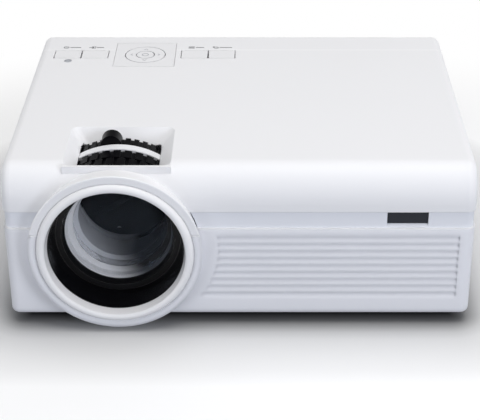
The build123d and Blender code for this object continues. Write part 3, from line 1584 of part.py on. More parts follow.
def speaker_frame():
    """Square plate with a conical basket and a magnet behind it."""
    x1 = speaker_x1()
    depth = SPEAKER_T - SPEAKER_PLATE_T
    plate = block(
        x1 - SPEAKER_PLATE_T,
        x1,
        SPEAKER_D0,
        SPEAKER_D0 + SPEAKER_LENGTH,
        SPEAKER_H0,
        SPEAKER_H0 + SPEAKER_TALL,
    )
    basket = speaker_place(x1 - SPEAKER_PLATE_T - depth / 2) * Cone(
        SPEAKER_MAGNET_R, SPEAKER_CONE_R + 1, depth
    )
    magnet = speaker_place(x1 - SPEAKER_T + 1.5) * Cylinder(SPEAKER_MAGNET_R + 1, 3.0)
    hollow = speaker_place(x1 - SPEAKER_T / 2 + 1.5) * Cone(
        SPEAKER_MAGNET_R - 2, SPEAKER_CONE_R, SPEAKER_T - 3
    )
    return plate + basket + magnet - hollow


def speaker_cone():
    """Thin paper cone with a dust cap, seated on the basket's floor."""
    x1 = speaker_x1()
    depth = SPEAKER_T - 3 - 1.2
    middle = x1 - SPEAKER_T + 3 + depth / 2
    wall = 0.7
    outer = speaker_place(middle) * Cone(SPEAKER_MAGNET_R - 2.4, SPEAKER_CONE_R - 1.6, depth)
    inner = speaker_place(middle + wall) * Cone(SPEAKER_MAGNET_R - 2.4, SPEAKER_CONE_R - 1.6, depth)
    cap = speaker_place(middle - depth / 2 + 1) * Cylinder(SPEAKER_MAGNET_R - 3.4, 2)
    return outer - inner + cap


# Feet, screws and insert


def rubber_feet():
    """Four round feet in shallow recesses, rounded at the bottom."""
    feet = []
    for x, d in foot_places():
        foot = upright(FOOT_R - 0.05, x, d, -FOOT_H, FOOT_RECESS)
        bottom = foot.edges().sort_by(Axis.Z)[0]
        feet.append(fillet(bottom, 1.0))
    return Compound(children=feet)


def leg_ring_h():
    """Height of the middle of the friction ring's groove, near the top of the leg."""
    return LEG_LENGTH - KNOB_TOP_GAP - LEG_RING_BELOW_TOP


def foot_leg():
    """Fluted grip with a plain stem that slides in the boss of the bottom shell."""
    top = -KNOB_TOP_GAP
    leg = upright(KNOB_R, LEG_X, LEG_D, top - KNOB_T, top)
    for index in range(KNOB_FLUTES):
        angle = math.radians(index * 360 / KNOB_FLUTES)
        x = LEG_X + KNOB_R * math.cos(angle)
        d = LEG_D + KNOB_R * math.sin(angle)
        leg -= upright(FLUTE_R, x, d, top - KNOB_T - 1, top + 1)
    leg += upright(STEM_LEG_R, LEG_X, LEG_D, top - 0.5, LEG_LENGTH - KNOB_TOP_GAP)
    low = leg_ring_h() - LEG_RING_W / 2
    groove = upright(STEM_LEG_R + 1, LEG_X, LEG_D, low, low + LEG_RING_W)
    leg -= groove - upright(STEM_LEG_R - LEG_RING_DEPTH, LEG_X, LEG_D, low - 1, low + LEG_RING_W + 1)
    return leg - upright(SPIGOT_R, LEG_X, LEG_D, top - KNOB_T - 1, top - KNOB_T + SPIGOT_LENGTH)


def foot_friction_ring():
    """Rubber ring in the leg's groove that rubs in the boss and holds the leg where it is left."""
    inner = STEM_LEG_R - LEG_RING_DEPTH
    outer = STEM_LEG_R + LEG_FIT - LEG_RING_FIT
    section = RectangleRounded(outer - inner, LEG_RING_W, 0.3)
    ring = revolve(Plane.XZ * Pos((inner + outer) / 2, 0) * section, Axis.Z)
    return at(LEG_X, LEG_D, leg_ring_h()) * ring


def foot_pad():
    """Rubber pad pressed into the underside of the leg's grip."""
    top = -KNOB_TOP_GAP - KNOB_T
    pad = upright(FOOT_PAD_R, LEG_X, LEG_D, top - FOOT_PAD_T, top)
    rim = pad.edges().group_by(Axis.Z)[0]
    return fillet(rim, 0.5) + upright(SPIGOT_R, LEG_X, LEG_D, top - 0.5, top + SPIGOT_LENGTH)


def tripod_insert():
    """Brass insert with the tripod thread, flush with the underside."""
    insert = upright(TRIPOD_OUT_R, TRIPOD_X, TRIPOD_D, 0, TRIPOD_DEPTH)
    return insert - upright(TRIPOD_R, TRIPOD_X, TRIPOD_D, -1, TRIPOD_DEPTH + 1)


def case_screws():
    """Four long-reach screws from below that hold the shells together."""
    screws = []
    sink_top = CASE_BOSS_SPLIT_H - CASE_SINK_DEPTH
    for x, d in case_boss_places():
        head = upright(CASE_HEAD_R, x, d, sink_top - CASE_HEAD_T, sink_top)
        shank = upright(CASE_SHANK_R, x, d, sink_top - 0.5, sink_top + CASE_SHANK_LENGTH)
        screws.append(head + shank)
    return Compound(children=screws)


def build():
    """Every piece by its name."""
    pieces = {
        "top_shell": top_shell(),
        "bottom_shell": bottom_shell(),
        "waist_band": waist_band(),
        "lens_ring": lens_ring(),
        "lens_shroud": lens_shroud(),
        "lens_base": lens_base(),
        "focus_wheel": focus_wheel(),
        "focus_barrel": focus_barrel(),
        "guide_pins": guide_pins(),
        "front_lens": front_lens(),
        "lens_retainer": lens_retainer(),
        "front_spacer": front_spacer(),
        "middle_lens": middle_lens(),
        "rear_spacer": rear_spacer(),
        "rear_lens": rear_lens(),
        "keystone_ring": keystone_ring(),
        "ir_window": ir_window(),
        "ir_receiver": ir_receiver(),
        "nav_panel": nav_panel(),
        "nav_ring": nav_ring(),
        "ok_key": ok_key(),
        "nav_hub": nav_hub(),
        "key_board": key_board(),
        "key_switches": key_switches(),
        "board_screws": board_screws(),
        "status_light": status_light(),
        "engine_housing": engine_housing(),
        "engine_cover": engine_cover(),
        "mirror_frame": mirror_frame(),
        "fold_mirror": fold_mirror(),
        "fresnel_lenses": fresnel_lenses(),
        "lcd_panel": lcd_panel(),
        "condenser_lens": condenser_lens(),
        "led_board": led_board(),
        "heat_sink": heat_sink(),
        "exhaust_frame": exhaust_place()
        * fan_frame(EXHAUST_SIZE, EXHAUST_T, EXHAUST_BORE_R, EXHAUST_HUB_R),
        "exhaust_rotor": exhaust_place()
        * fan_rotor(EXHAUST_T, EXHAUST_BORE_R, EXHAUST_HUB_R, EXHAUST_BLADES),
        "intake_frame": intake_place()
        * fan_frame(INTAKE_SIZE, INTAKE_T, INTAKE_BORE_R, INTAKE_HUB_R),
        "intake_rotor": intake_place()
        * fan_rotor(INTAKE_T, INTAKE_BORE_R, INTAKE_HUB_R, INTAKE_BLADES),
        "dust_filter": dust_filter(),
        "main_board": main_board(),
        "power_board": power_board(),
        "hdmi_socket": hdmi_socket(),
        "usb_socket": usb_socket(),
        "round_jacks": round_jacks(),
        "card_socket": card_socket(),
        "power_inlet": power_inlet(),
        "speaker_frame": speaker_frame(),
        "speaker_cone": speaker_cone(),
        "rubber_feet": rubber_feet(),
        "foot_leg": foot_leg(),
        "foot_friction_ring": foot_friction_ring(),
        "foot_pad": foot_pad(),
        "tripod_insert": tripod_insert(),
        "case_screws": case_screws(),
    }
    for name, left in zip(KEY_NAMES, KEY_LEFT_XS):
        pieces[name] = flush_key(left)
    return pieces


os.makedirs("parts", exist_ok=True)
for name, shape in build().items():
    export_step(shape, f"parts/{name}.step")
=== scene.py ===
"""Looks of a small white LED projector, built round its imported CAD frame.

Sizes in the classes are millimetres in the part's own axes: X to the right, D back from the
housing's front face and H up from its underside. spot() turns them into Blender's metres.
In a finish, the radius of an edge and the height of a bump are millimetres too.
"""

import logging
import math
from dataclasses import dataclass
from enum import Enum
from typing import Sequence, Union

import bmesh
import bpy
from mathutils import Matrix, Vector


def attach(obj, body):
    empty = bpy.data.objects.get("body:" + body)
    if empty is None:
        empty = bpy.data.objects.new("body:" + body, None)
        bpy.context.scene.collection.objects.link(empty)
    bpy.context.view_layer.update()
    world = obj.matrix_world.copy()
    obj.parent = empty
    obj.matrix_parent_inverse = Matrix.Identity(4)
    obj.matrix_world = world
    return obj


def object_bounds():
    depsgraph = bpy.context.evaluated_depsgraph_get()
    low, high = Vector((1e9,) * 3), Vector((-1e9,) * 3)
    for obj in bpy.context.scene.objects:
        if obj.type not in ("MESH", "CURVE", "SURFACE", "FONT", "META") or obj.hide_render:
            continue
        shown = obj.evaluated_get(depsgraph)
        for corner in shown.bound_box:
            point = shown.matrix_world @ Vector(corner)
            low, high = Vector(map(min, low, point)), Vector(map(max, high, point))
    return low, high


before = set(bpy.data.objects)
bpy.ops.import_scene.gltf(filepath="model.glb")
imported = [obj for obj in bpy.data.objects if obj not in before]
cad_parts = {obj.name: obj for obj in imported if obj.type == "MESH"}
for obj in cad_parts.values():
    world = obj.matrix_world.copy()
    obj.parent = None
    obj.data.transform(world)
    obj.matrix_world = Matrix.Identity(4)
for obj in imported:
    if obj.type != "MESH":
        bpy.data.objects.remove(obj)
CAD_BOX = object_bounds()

logging.basicConfig(level=logging.INFO, format="%(name)s: %(message)s")
log = logging.getLogger("projector")

MM = 0.001
FRONT_Y = -71.3
FOOT_H = 5.0
TOP_H = 70.0
LENS_X = -52.5
LENS_H = 34.0
HALF_DEPTH = 75.0
RIM_BLUR = 0.02
SHADE_SPOT = (-30.0, 80.0, 36.0)
SHADE_R = 37.5
SHADE_BLUR = 13.0

Point = tuple[float, float]
Place = tuple[float, float, float]
Size = tuple[float, float, float]
Tint = tuple[float, float, float]
Colour = tuple[float, float, float, float]
Value = Union[float, Sequence[float], bpy.types.NodeSocket]
Region = tuple[Vector, Vector, Colour]
Bore = tuple[Vector, float, float, Colour]

WHITE: Colour = (1.0, 1.0, 1.0, 1.0)
BLACK: Colour = (0.0, 0.0, 0.0, 1.0)
ORIGIN = (0.0, 0.0, 0.0)
ACROSS = (1.0, 0.0, 1.0)


def spot(x: float, d: float, h: float) -> Vector:
    """Gives a point of the projector in metres.

    Args:
        x: Millimetres to the right of the middle.
        d: Millimetres back from the housing's front face.
        h: Millimetres up from the housing's underside.

    Returns:
        The point in the frame's own axes.
    """
    return Vector((x, FRONT_Y + d, FOOT_H + h)) * MM


def zone(centre: Place, half: Size, colour: Colour) -> Region:
    """Gives a box that shows another colour.

    Args:
        centre: Its middle as X, D and H.
        half: Half its size along each.
        colour: The colour inside it.

    Returns:
        Its middle and half size in metres, and its colour.
    """
    return spot(*centre), Vector(half) * MM, colour


class Graph:
    """Adds and joins the nodes of one material, world or shader group."""

    def __init__(self, tree: bpy.types.NodeTree) -> None:
        """Starts on an empty tree."""
        self.tree = tree
        tree.nodes.clear()

    def add(self, kind: str, values: dict[str, Value] | None = None, **settings) -> bpy.types.Node:
        """Adds one node.

        Args:
            kind: The node's type, without its leading ShaderNode.
            values: Its inputs, each a plain value or another node's output.
            **settings: Its own properties, such as operation.

        Returns:
            The new node.
        """
        node = self.tree.nodes.new(kind if kind.startswith("Node") else f"ShaderNode{kind}")
        for name, setting in settings.items():
            setattr(node, name, setting)
        self.fill(node, values or {})
        return node

    def fill(self, node: bpy.types.Node, values: dict[str, Value]) -> None:
        """Feeds inputs of a node by their names."""
        for name, value in values.items():
            self.feed(node.inputs[name], value)

    def feed(self, socket: bpy.types.NodeSocket, value: Value) -> None:
        """Sets a socket to a plain value, or joins another node's output to it.

        Args:
            socket: The input.
            value: The plain value or the output.
        """
        if isinstance(value, bpy.types.NodeSocket):
            self.tree.links.new(value, socket)
        else:
            socket.default_value = value

    def here(self) -> bpy.types.NodeSocket:
        """Gives the shaded place in the object's own axes."""
        return self.add("TexCoord").outputs["Object"]

    def parts(self, vector: Value) -> bpy.types.NodeOutputs:
        """Splits a vector into its X, Y and Z."""
        return self.add("SeparateXYZ", {"Vector": vector}).outputs

    def maths(self, operation: str, first: Value, second: Value = 0.0) -> bpy.types.NodeSocket:
        """Works out one sum.

        Args:
            operation: The Math node's operation.
            first: Its first value.
            second: Its second value.

        Returns:
            The socket that carries the result.
        """
        node = self.add("Math", operation=operation)
        self.feed(node.inputs[0], first)
        self.feed(node.inputs[1], second)
        return node.outputs[0]

    def vector(self, operation: str, first: Value, second: Value = ORIGIN) -> bpy.types.NodeSocket:
        """Works out one sum with vectors.

        Args:
            operation: The VectorMath node's operation.
            first: Its first vector.
            second: Its second vector.

        Returns:
            The socket that carries the result.
        """
        node = self.add("VectorMath", operation=operation)
        self.feed(node.inputs[0], first)
        self.feed(node.inputs[1], second)
        return node.outputs["Value" if operation == "LENGTH" else "Vector"]

    def ease(
        self, value: Value, start: Value, stop: Value, low: float = 0.0, high: float = 1.0
    ) -> bpy.types.NodeSocket:
        """Turns a value into a smooth step.

        Args:
            value: What is measured.
            start: Where the step starts.
            stop: Where it ends.
            low: The result before it.
            high: The result after it.

        Returns:
            The socket that carries the result.
        """
        ends = {"From Min": start, "From Max": stop, "To Min": low, "To Max": high}
        node = self.add("MapRange", {"Value": value, **ends}, interpolation_type="SMOOTHSTEP")
        return node.outputs["Result"]

    def blend(self, share: Value, first: Value, second: Value) -> bpy.types.NodeSocket:
        """Mixes two colours.

        Args:
            share: How much of the second colour shows, from 0 to 1.
            first: The colour at 0.
            second: The colour at 1.

        Returns:
            The socket that carries the mixed colour.
        """
        node = self.add("Mix", data_type="RGBA")
        for index, value in ((0, share), (6, first), (7, second)):
            self.feed(node.inputs[index], value)
        return node.outputs[2]

    def bump(
        self, strength: float, rise: float, height: Value, normal: Value = ORIGIN
    ) -> bpy.types.NodeSocket:
        """Bends normals by a height.

        Args:
            strength: How much of it shows, from 0 to 1.
            rise: What a height of 1 stands for, in millimetres.
            height: The height.
            normal: The normal that is bent, or zeros for the surface's own.

        Returns:
            The socket that carries the bent normal.
        """
        values = {"Strength": strength, "Distance": rise * MM, "Height": height, "Normal": normal}
        return self.add("Bump", values).outputs["Normal"]

    def either(
        self, share: Value, first: bpy.types.Node, second: bpy.types.Node
    ) -> bpy.types.Node:
        """Mixes two shaders.

        Args:
            share: How much of the second shader shows, from 0 to 1.
            first: The node of the shader at 0.
            second: The node of the shader at 1.

        Returns:
            The node that mixes them.
        """
        node = self.add("MixShader", {"Fac": share})
        self.feed(node.inputs[1], first.outputs[0])
        self.feed(node.inputs[2], second.outputs[0])
        return node


class Effect(Enum):
    """Shader groups that several finishes share."""

    GRAIN = "moulded_grain"
    TONE = "tone_drift"
    GLOSS = "gloss_drift"
    EDGE = "soft_edge"
    REGION = "box_region"
    THREAD = "screw_thread"
    BORE = "bore_mask"


class Effects:
    """Builds each shared shader group once and places it in materials."""

    grain_detail: float = 3.0
    tone_detail: float = 4.0
    gloss_detail: float = 6.0
    edge_samples: int = 4
    noise_middle: float = 0.5
    ridge_share: float = 0.5

    def __init__(self) -> None:
        """Builds every group."""
        self.groups = {
            Effect.GRAIN: self.grain(),
            Effect.TONE: self.tone(),
            Effect.GLOSS: self.gloss(),
            Effect.EDGE: self.edge(),
            Effect.REGION: self.region(),
            Effect.THREAD: self.thread(),
            Effect.BORE: self.bore(),
        }

    def start(self, effect: Effect, takes: dict[str, str], gives: dict[str, str]) -> tuple:
        """Makes an empty group with its sockets.

        Args:
            effect: The group's name.
            takes: Input names and their kinds, such as Float or Color.
            gives: Output names and their kinds.

        Returns:
            The group, its Graph, the sockets that bring its inputs and those that take its outputs.
        """
        group = bpy.data.node_groups.new(effect.value, "ShaderNodeTree")
        graph = Graph(group)
        for way, sockets in (("INPUT", takes), ("OUTPUT", gives)):
            for name, kind in sockets.items():
                group.interface.new_socket(name, in_out=way, socket_type=f"NodeSocket{kind}")
        given, out = graph.add("NodeGroupInput"), graph.add("NodeGroupOutput")
        return group, graph, given.outputs, out.inputs

    def grain(self) -> bpy.types.NodeTree:
        """Builds the fine pebbled skin of a moulded part, as a height.

        Returns:
            The group.
        """
        takes = {"Scale": "Float", "Depth": "Float"}
        group, graph, given, out = self.start(Effect.GRAIN, takes, {"Height": "Float"})
        where = {"Vector": graph.here(), "Scale": given["Scale"]}
        fine = graph.add("TexNoise", {**where, "Detail": self.grain_detail})
        pits = graph.add("TexVoronoi", where)
        both = graph.maths("ADD", fine.outputs["Fac"], pits.outputs["Distance"])
        graph.feed(out["Height"], graph.maths("MULTIPLY", both, given["Depth"]))
        return group

    def tone(self) -> bpy.types.NodeTree:
        """Builds a slow drift in brightness over a colour, as from moulding and handling.

        Returns:
            The group.
        """
        takes = {"Colour": "Color", "Amount": "Float", "Scale": "Float"}
        group, graph, given, out = self.start(Effect.TONE, takes, {"Colour": "Color"})
        where = {"Vector": graph.here(), "Scale": given["Scale"]}
        cloud = graph.add("TexNoise", {**where, "Detail": self.tone_detail})
        share = graph.maths("MULTIPLY", cloud.outputs["Fac"], given["Amount"])
        light = graph.maths("SUBTRACT", 1.0, share)
        scaled = graph.add("VectorMath", {"Scale": light}, operation="SCALE")
        graph.feed(scaled.inputs[0], given["Colour"])
        graph.feed(out["Colour"], scaled.outputs["Vector"])
        return group

    def gloss(self) -> bpy.types.NodeTree:
        """Builds a roughness that varies in soft patches and fine flecks.

        Returns:
            The group.
        """
        takes = {"Roughness": "Float", "Spread": "Float", "Scale": "Float"}
        group, graph, given, out = self.start(Effect.GLOSS, takes, {"Roughness": "Float"})
        where = {"Vector": graph.here(), "Scale": given["Scale"]}
        patch = graph.add("TexNoise", {**where, "Detail": self.gloss_detail})
        swing = graph.maths("SUBTRACT", patch.outputs["Fac"], self.noise_middle)
        swing = graph.maths("MULTIPLY", swing, given["Spread"])
        graph.feed(out["Roughness"], graph.maths("ADD", given["Roughness"], swing))
        return group

    def edge(self) -> bpy.types.NodeTree:
        """Builds normals that are rounded off along sharp edges.

        Returns:
            The group.
        """
        takes = {"Radius": "Float"}
        group, graph, given, out = self.start(Effect.EDGE, takes, {"Normal": "Vector"})
        bevel = graph.add("Bevel", {"Radius": given["Radius"]}, samples=self.edge_samples)
        graph.feed(out["Normal"], bevel.outputs["Normal"])
        return group

    def region(self) -> bpy.types.NodeTree:
        """Builds a mask that is 1 inside a box round a centre and 0 outside it.

        Returns:
            The group.
        """
        takes = {"Centre": "Vector", "Half": "Vector"}
        group, graph, given, out = self.start(Effect.REGION, takes, {"Mask": "Float"})
        away = graph.vector("SUBTRACT", graph.here(), given["Centre"])
        room = graph.parts(graph.vector("SUBTRACT", given["Half"], graph.vector("ABSOLUTE", away)))
        least = graph.maths("MINIMUM", graph.maths("MINIMUM", room[0], room[1]), room[2])
        graph.feed(out["Mask"], graph.maths("GREATER_THAN", least, 0.0))
        return group

    def thread(self) -> bpy.types.NodeTree:
        """Builds the ridges of an upright screw thread round a centre, as a height.

        Returns:
            The group.
        """
        takes = {"Centre": "Vector", "Pitch": "Float"}
        group, graph, given, out = self.start(Effect.THREAD, takes, {"Height": "Float"})
        axes = graph.parts(graph.vector("SUBTRACT", graph.here(), given["Centre"]))
        turn = graph.maths("DIVIDE", graph.maths("ARCTAN2", axes[1], axes[0]), math.tau)
        rise = graph.maths("DIVIDE", axes[2], given["Pitch"])
        phase = graph.maths("FRACT", graph.maths("ADD", rise, turn))
        graph.feed(out["Height"], graph.maths("PINGPONG", phase, self.ridge_share))
        return group

    def bore(self) -> bpy.types.NodeTree:
        """Builds a mask of what lies within a radius of a level axis and ahead of a depth.

        Returns:
            The group.
        """
        takes = {"Centre": "Vector", "Radius": "Float", "Blur": "Float"}
        group, graph, given, out = self.start(Effect.BORE, takes, {"Mask": "Float"})
        away = graph.vector("SUBTRACT", graph.here(), given["Centre"])
        reach = graph.vector("LENGTH", graph.vector("MULTIPLY", away, ACROSS))
        inside = graph.maths("SUBTRACT", given["Radius"], reach)
        within = graph.ease(inside, 0.0, given["Blur"])
        ahead = graph.maths("LESS_THAN", graph.parts(away)[1], 0.0)
        graph.feed(out["Mask"], graph.maths("MULTIPLY", within, ahead))
        return group

    def place(self, graph: Graph, effect: Effect, values: dict[str, Value]) -> bpy.types.NodeSocket:
        """Puts a shared group in a material.

        Args:
            graph: The material's graph.
            effect: Which group.
            values: The group's inputs.

        Returns:
            The socket that carries the group's result.
        """
        return graph.add("Group", values, node_tree=self.groups[effect]).outputs[0]

    def paint(self, graph: Graph, tone: Value, regions: Sequence[Region]) -> Value:
        """Shows other colours inside boxes.

        Args:
            graph: The material's graph.
            tone: The colour outside them.
            regions: The boxes and their colours.

        Returns:
            The socket that carries the painted colour.
        """
        for centre, half, colour in regions:
            mask = self.place(graph, Effect.REGION, {"Centre": centre, "Half": half})
            tone = graph.blend(mask, tone, colour)
        return tone


def new_material(name: str) -> tuple[bpy.types.Material, Graph, bpy.types.Node, bpy.types.Node]:
    """Makes a material with a Principled shader.

    Args:
        name: The material's name.

    Returns:
        The material, its Graph, its Principled node and its output node.
    """
    material = bpy.data.materials.new(name)
    material.use_nodes = True
    graph = Graph(material.node_tree)
    shader = graph.add("BsdfPrincipled")
    output = graph.add("OutputMaterial", {"Surface": shader.outputs["BSDF"]})
    return material, graph, shader, output


@dataclass(frozen=True)
class Moulding:
    """Moulded plastic or rubber: drifting tone and gloss, fine grain and softened edges."""

    name: str
    colour: Colour
    roughness: float = 0.42
    spread: float = 0.08
    tone: float = 0.03
    patch: float = 22.0
    fleck: float = 3.0
    grain: float = 2400.0
    depth: float = 0.5
    relief: float = 0.5
    bump: float = 0.02
    edge: float = 0.4
    coat: float = 0.0
    coat_roughness: float = 0.12
    specular: float = 0.5
    regions: tuple[Region, ...] = ()
    bores: tuple[Bore, ...] = ()

    def material(self, effects: Effects) -> bpy.types.Material:
        """Builds the material.

        Args:
            effects: The shared shader groups.

        Returns:
            The finished material.
        """
        material, graph, shader, _ = new_material(self.name)
        drift = {"Colour": self.colour, "Amount": self.tone, "Scale": self.patch}
        tone = effects.paint(graph, effects.place(graph, Effect.TONE, drift), self.regions)
        for centre, radius, blur, colour in self.bores:
            reach = {"Centre": centre, "Radius": radius * MM, "Blur": blur * MM}
            tone = graph.blend(effects.place(graph, Effect.BORE, reach), tone, colour)
        sheen = {"Spread": self.spread, "Scale": self.patch * self.fleck}
        gloss = effects.place(graph, Effect.GLOSS, {"Roughness": self.roughness, **sheen})
        skin = {"Scale": self.grain, "Depth": self.depth}
        height = effects.place(graph, Effect.GRAIN, skin)
        soft = effects.place(graph, Effect.EDGE, {"Radius": self.edge * MM})
        bump = graph.bump(self.relief, self.bump, height, soft)
        graph.fill(shader, {"Base Color": tone, "Roughness": gloss, "Normal": bump})
        graph.fill(shader, {"Coat Weight": self.coat, "Coat Roughness": self.coat_roughness})
        graph.fill(shader, {"Specular IOR Level": self.specular})
        return material


@dataclass(frozen=True)
class Metal:
    """Bare or plated metal with fine streaks from machining or rolling."""

    name: str
    colour: Colour
    roughness: float = 0.3
    spread: float = 0.2
    stretch: Size = (1.0, 1.0, 12.0)
    streak: float = 420.0
    detail: float = 5.0
    tone: float = 0.12
    patch: float = 60.0
    relief: float = 0.25
    bump: float = 0.02
    edge: float = 0.15
    regions: tuple[Region, ...] = ()

    def material(self, effects: Effects) -> bpy.types.Material:
        """Builds the material.

        Args:
            effects: The shared shader groups.

        Returns:
            The finished material.
        """
        material, graph, shader, _ = new_material(self.name)
        drawn = graph.add("Mapping", {"Vector": graph.here(), "Scale": self.stretch})
        where = {"Vector": drawn.outputs["Vector"], "Scale": self.streak}
        streaks = graph.add("TexNoise", {**where, "Detail": self.detail}).outputs["Fac"]
        drift = {"Colour": self.colour, "Amount": self.tone, "Scale": self.patch}
        tone = effects.place(graph, Effect.TONE, drift)
        shine: Value = 1.0
        for centre, half, colour in self.regions:
            mask = effects.place(graph, Effect.REGION, {"Centre": centre, "Half": half})
            tone = graph.blend(mask, tone, colour)
            shine = graph.maths("MULTIPLY", shine, graph.maths("SUBTRACT", 1.0, mask))
        rough = graph.maths("MULTIPLY", streaks, self.spread)
        rough = graph.maths("ADD", rough, self.roughness - self.spread / 2)
        soft = effects.place(graph, Effect.EDGE, {"Radius": self.edge * MM})
        bump = graph.bump(self.relief, self.bump, streaks, soft)
        graph.fill(shader, {"Base Color": tone, "Roughness": rough, "Normal": bump})
        graph.fill(shader, {"Metallic": shine})
        return material


@dataclass(frozen=True)
class Glass:
    """Clear glass or plastic with a thin coating; lamps shine through it."""

    name: str
    colour: Colour
    coating: Colour = WHITE
    roughness: float = 0.0
    spread: float = 0.02
    film: float = 40.0
    tone: float = 0.03
    patch: float = 30.0
    ior: float = 1.5
    through: Colour = (0.96, 0.965, 0.97, 1.0)
    rings: float = 0.0
    ring_centre: Value = ORIGIN
    ring_relief: float = 0.6
    ring_bump: float = 0.2

    def material(self, effects: Effects) -> bpy.types.Material:
        """Builds the material.

        Args:
            effects: The shared shader groups.

        Returns:
            The finished material.
        """
        material, graph, shader, output = new_material(self.name)
        drift = {"Colour": self.colour, "Amount": self.tone, "Scale": self.patch}
        smear = {"Roughness": self.roughness, "Spread": self.spread, "Scale": self.film}
        tone = effects.place(graph, Effect.TONE, drift)
        film = effects.place(graph, Effect.GLOSS, smear)
        graph.fill(shader, {"Base Color": tone, "Roughness": film})
        graph.fill(shader, {"Metallic": 0.0, "Transmission Weight": 1.0, "IOR": self.ior})
        graph.fill(shader, {"Specular Tint": self.coating})
        if self.rings:
            away = graph.vector("SUBTRACT", graph.here(), self.ring_centre)
            turns = graph.maths("MULTIPLY", graph.vector("LENGTH", away), self.rings)
            step = graph.maths("FRACT", turns)
            bump = graph.bump(self.ring_relief, self.ring_bump, step)
            graph.fill(shader, {"Normal": bump})
        path = graph.add("LightPath").outputs
        lit = graph.maths("MAXIMUM", path["Is Shadow Ray"], path["Is Diffuse Ray"])
        clear = graph.add("BsdfTransparent", {"Color": self.through})
        graph.fill(output, {"Surface": graph.either(lit, shader, clear).outputs[0]})
        return material


@dataclass(frozen=True)
class Circuit:
    """Circuit board: solder mask over fine copper runs, with its parts in their own colours."""

    name: str
    colour: Colour = (0.012, 0.085, 0.035, 1.0)
    copper: Colour = (0.03, 0.17, 0.07, 1.0)
    solder: Colour = (0.55, 0.5, 0.42, 1.0)
    run: float = 380.0
    run_length: float = 2.6
    run_pitch: float = 0.3
    run_gap: float = 0.03
    pad: float = 260.0
    pad_size: float = 0.16
    roughness: float = 0.32
    spread: float = 0.15
    patch: float = 90.0
    relief: float = 0.3
    bump: float = 0.05
    regions: tuple[Region, ...] = ()

    def material(self, effects: Effects) -> bpy.types.Material:
        """Builds the material.

        Args:
            effects: The shared shader groups.

        Returns:
            The finished material.
        """
        material, graph, shader, _ = new_material(self.name)
        place = graph.here()
        values = {
            "Vector": place,
            "Color1": self.colour,
            "Color2": self.copper,
            "Mortar": self.colour,
            "Scale": self.run,
            "Mortar Size": self.run_gap,
            "Brick Width": self.run_length,
            "Row Height": self.run_pitch,
        }
        runs = graph.add("TexBrick", values).outputs
        pads = graph.add("TexVoronoi", {"Vector": place, "Scale": self.pad})
        dots = graph.maths("LESS_THAN", pads.outputs["Distance"], self.pad_size)
        tone = effects.paint(graph, graph.blend(dots, runs["Color"], self.solder), self.regions)
        sheen = {"Roughness": self.roughness, "Spread": self.spread, "Scale": self.patch}
        gloss = effects.place(graph, Effect.GLOSS, sheen)
        bump = graph.bump(self.relief, self.bump, runs["Fac"])
        graph.fill(shader, {"Base Color": tone, "Roughness": gloss, "Normal": bump})
        return material


@dataclass(frozen=True)
class Foam:
    """Open-cell foam, or pressed paper pulp when its cells are fine."""

    name: str
    colour: Colour
    cell: float = 900.0
    bump: float = 0.4
    relief: float = 0.8
    tone: float = 0.4
    cells_per_patch: float = 3.0
    roughness: float = 0.92

    def material(self, effects: Effects) -> bpy.types.Material:
        """Builds the material.

        Args:
            effects: The shared shader groups.

        Returns:
            The finished material.
        """
        material, graph, shader, _ = new_material(self.name)
        cells = graph.add("TexVoronoi", {"Vector": graph.here(), "Scale": self.cell})
        patch = self.cell / self.cells_per_patch
        drift = {"Colour": self.colour, "Amount": self.tone, "Scale": patch}
        tone = effects.place(graph, Effect.TONE, drift)
        bump = graph.bump(self.relief, self.bump, cells.outputs["Distance"])
        graph.fill(shader, {"Base Color": tone, "Roughness": self.roughness, "Normal": bump})
        return material


@dataclass(frozen=True)
class Threaded:
    """Metal with an upright screw thread shown on its round faces."""

    name: str
    colour: Colour
    centre: Vector
    pitch: float
    metallic: float = 1.0
    roughness: float = 0.35
    spread: float = 0.12
    film: float = 200.0
    tone: float = 0.15
    patch: float = 90.0
    relief: float = 1.0
    bump: float = 0.6
    edge: float = 0.2

    def material(self, effects: Effects) -> bpy.types.Material:
        """Builds the material.

        Args:
            effects: The shared shader groups.

        Returns:
            The finished material.
        """
        material, graph, shader, _ = new_material(self.name)
        helix = {"Centre": self.centre, "Pitch": self.pitch * MM}
        drift = {"Colour": self.colour, "Amount": self.tone, "Scale": self.patch}
        sheen = {"Roughness": self.roughness, "Spread": self.spread, "Scale": self.film}
        ridges = effects.place(graph, Effect.THREAD, helix)
        soft = effects.place(graph, Effect.EDGE, {"Radius": self.edge * MM})
        tone = effects.place(graph, Effect.TONE, drift)
        gloss = effects.place(graph, Effect.GLOSS, sheen)
        bump = graph.bump(self.relief, self.bump, ridges, soft)
        graph.fill(shader, {"Base Color": tone, "Roughness": gloss, "Normal": bump})
        graph.fill(shader, {"Metallic": self.metallic})
        return material


Finish = Union[Moulding, Metal, Glass, Circuit, Foam, Threaded]


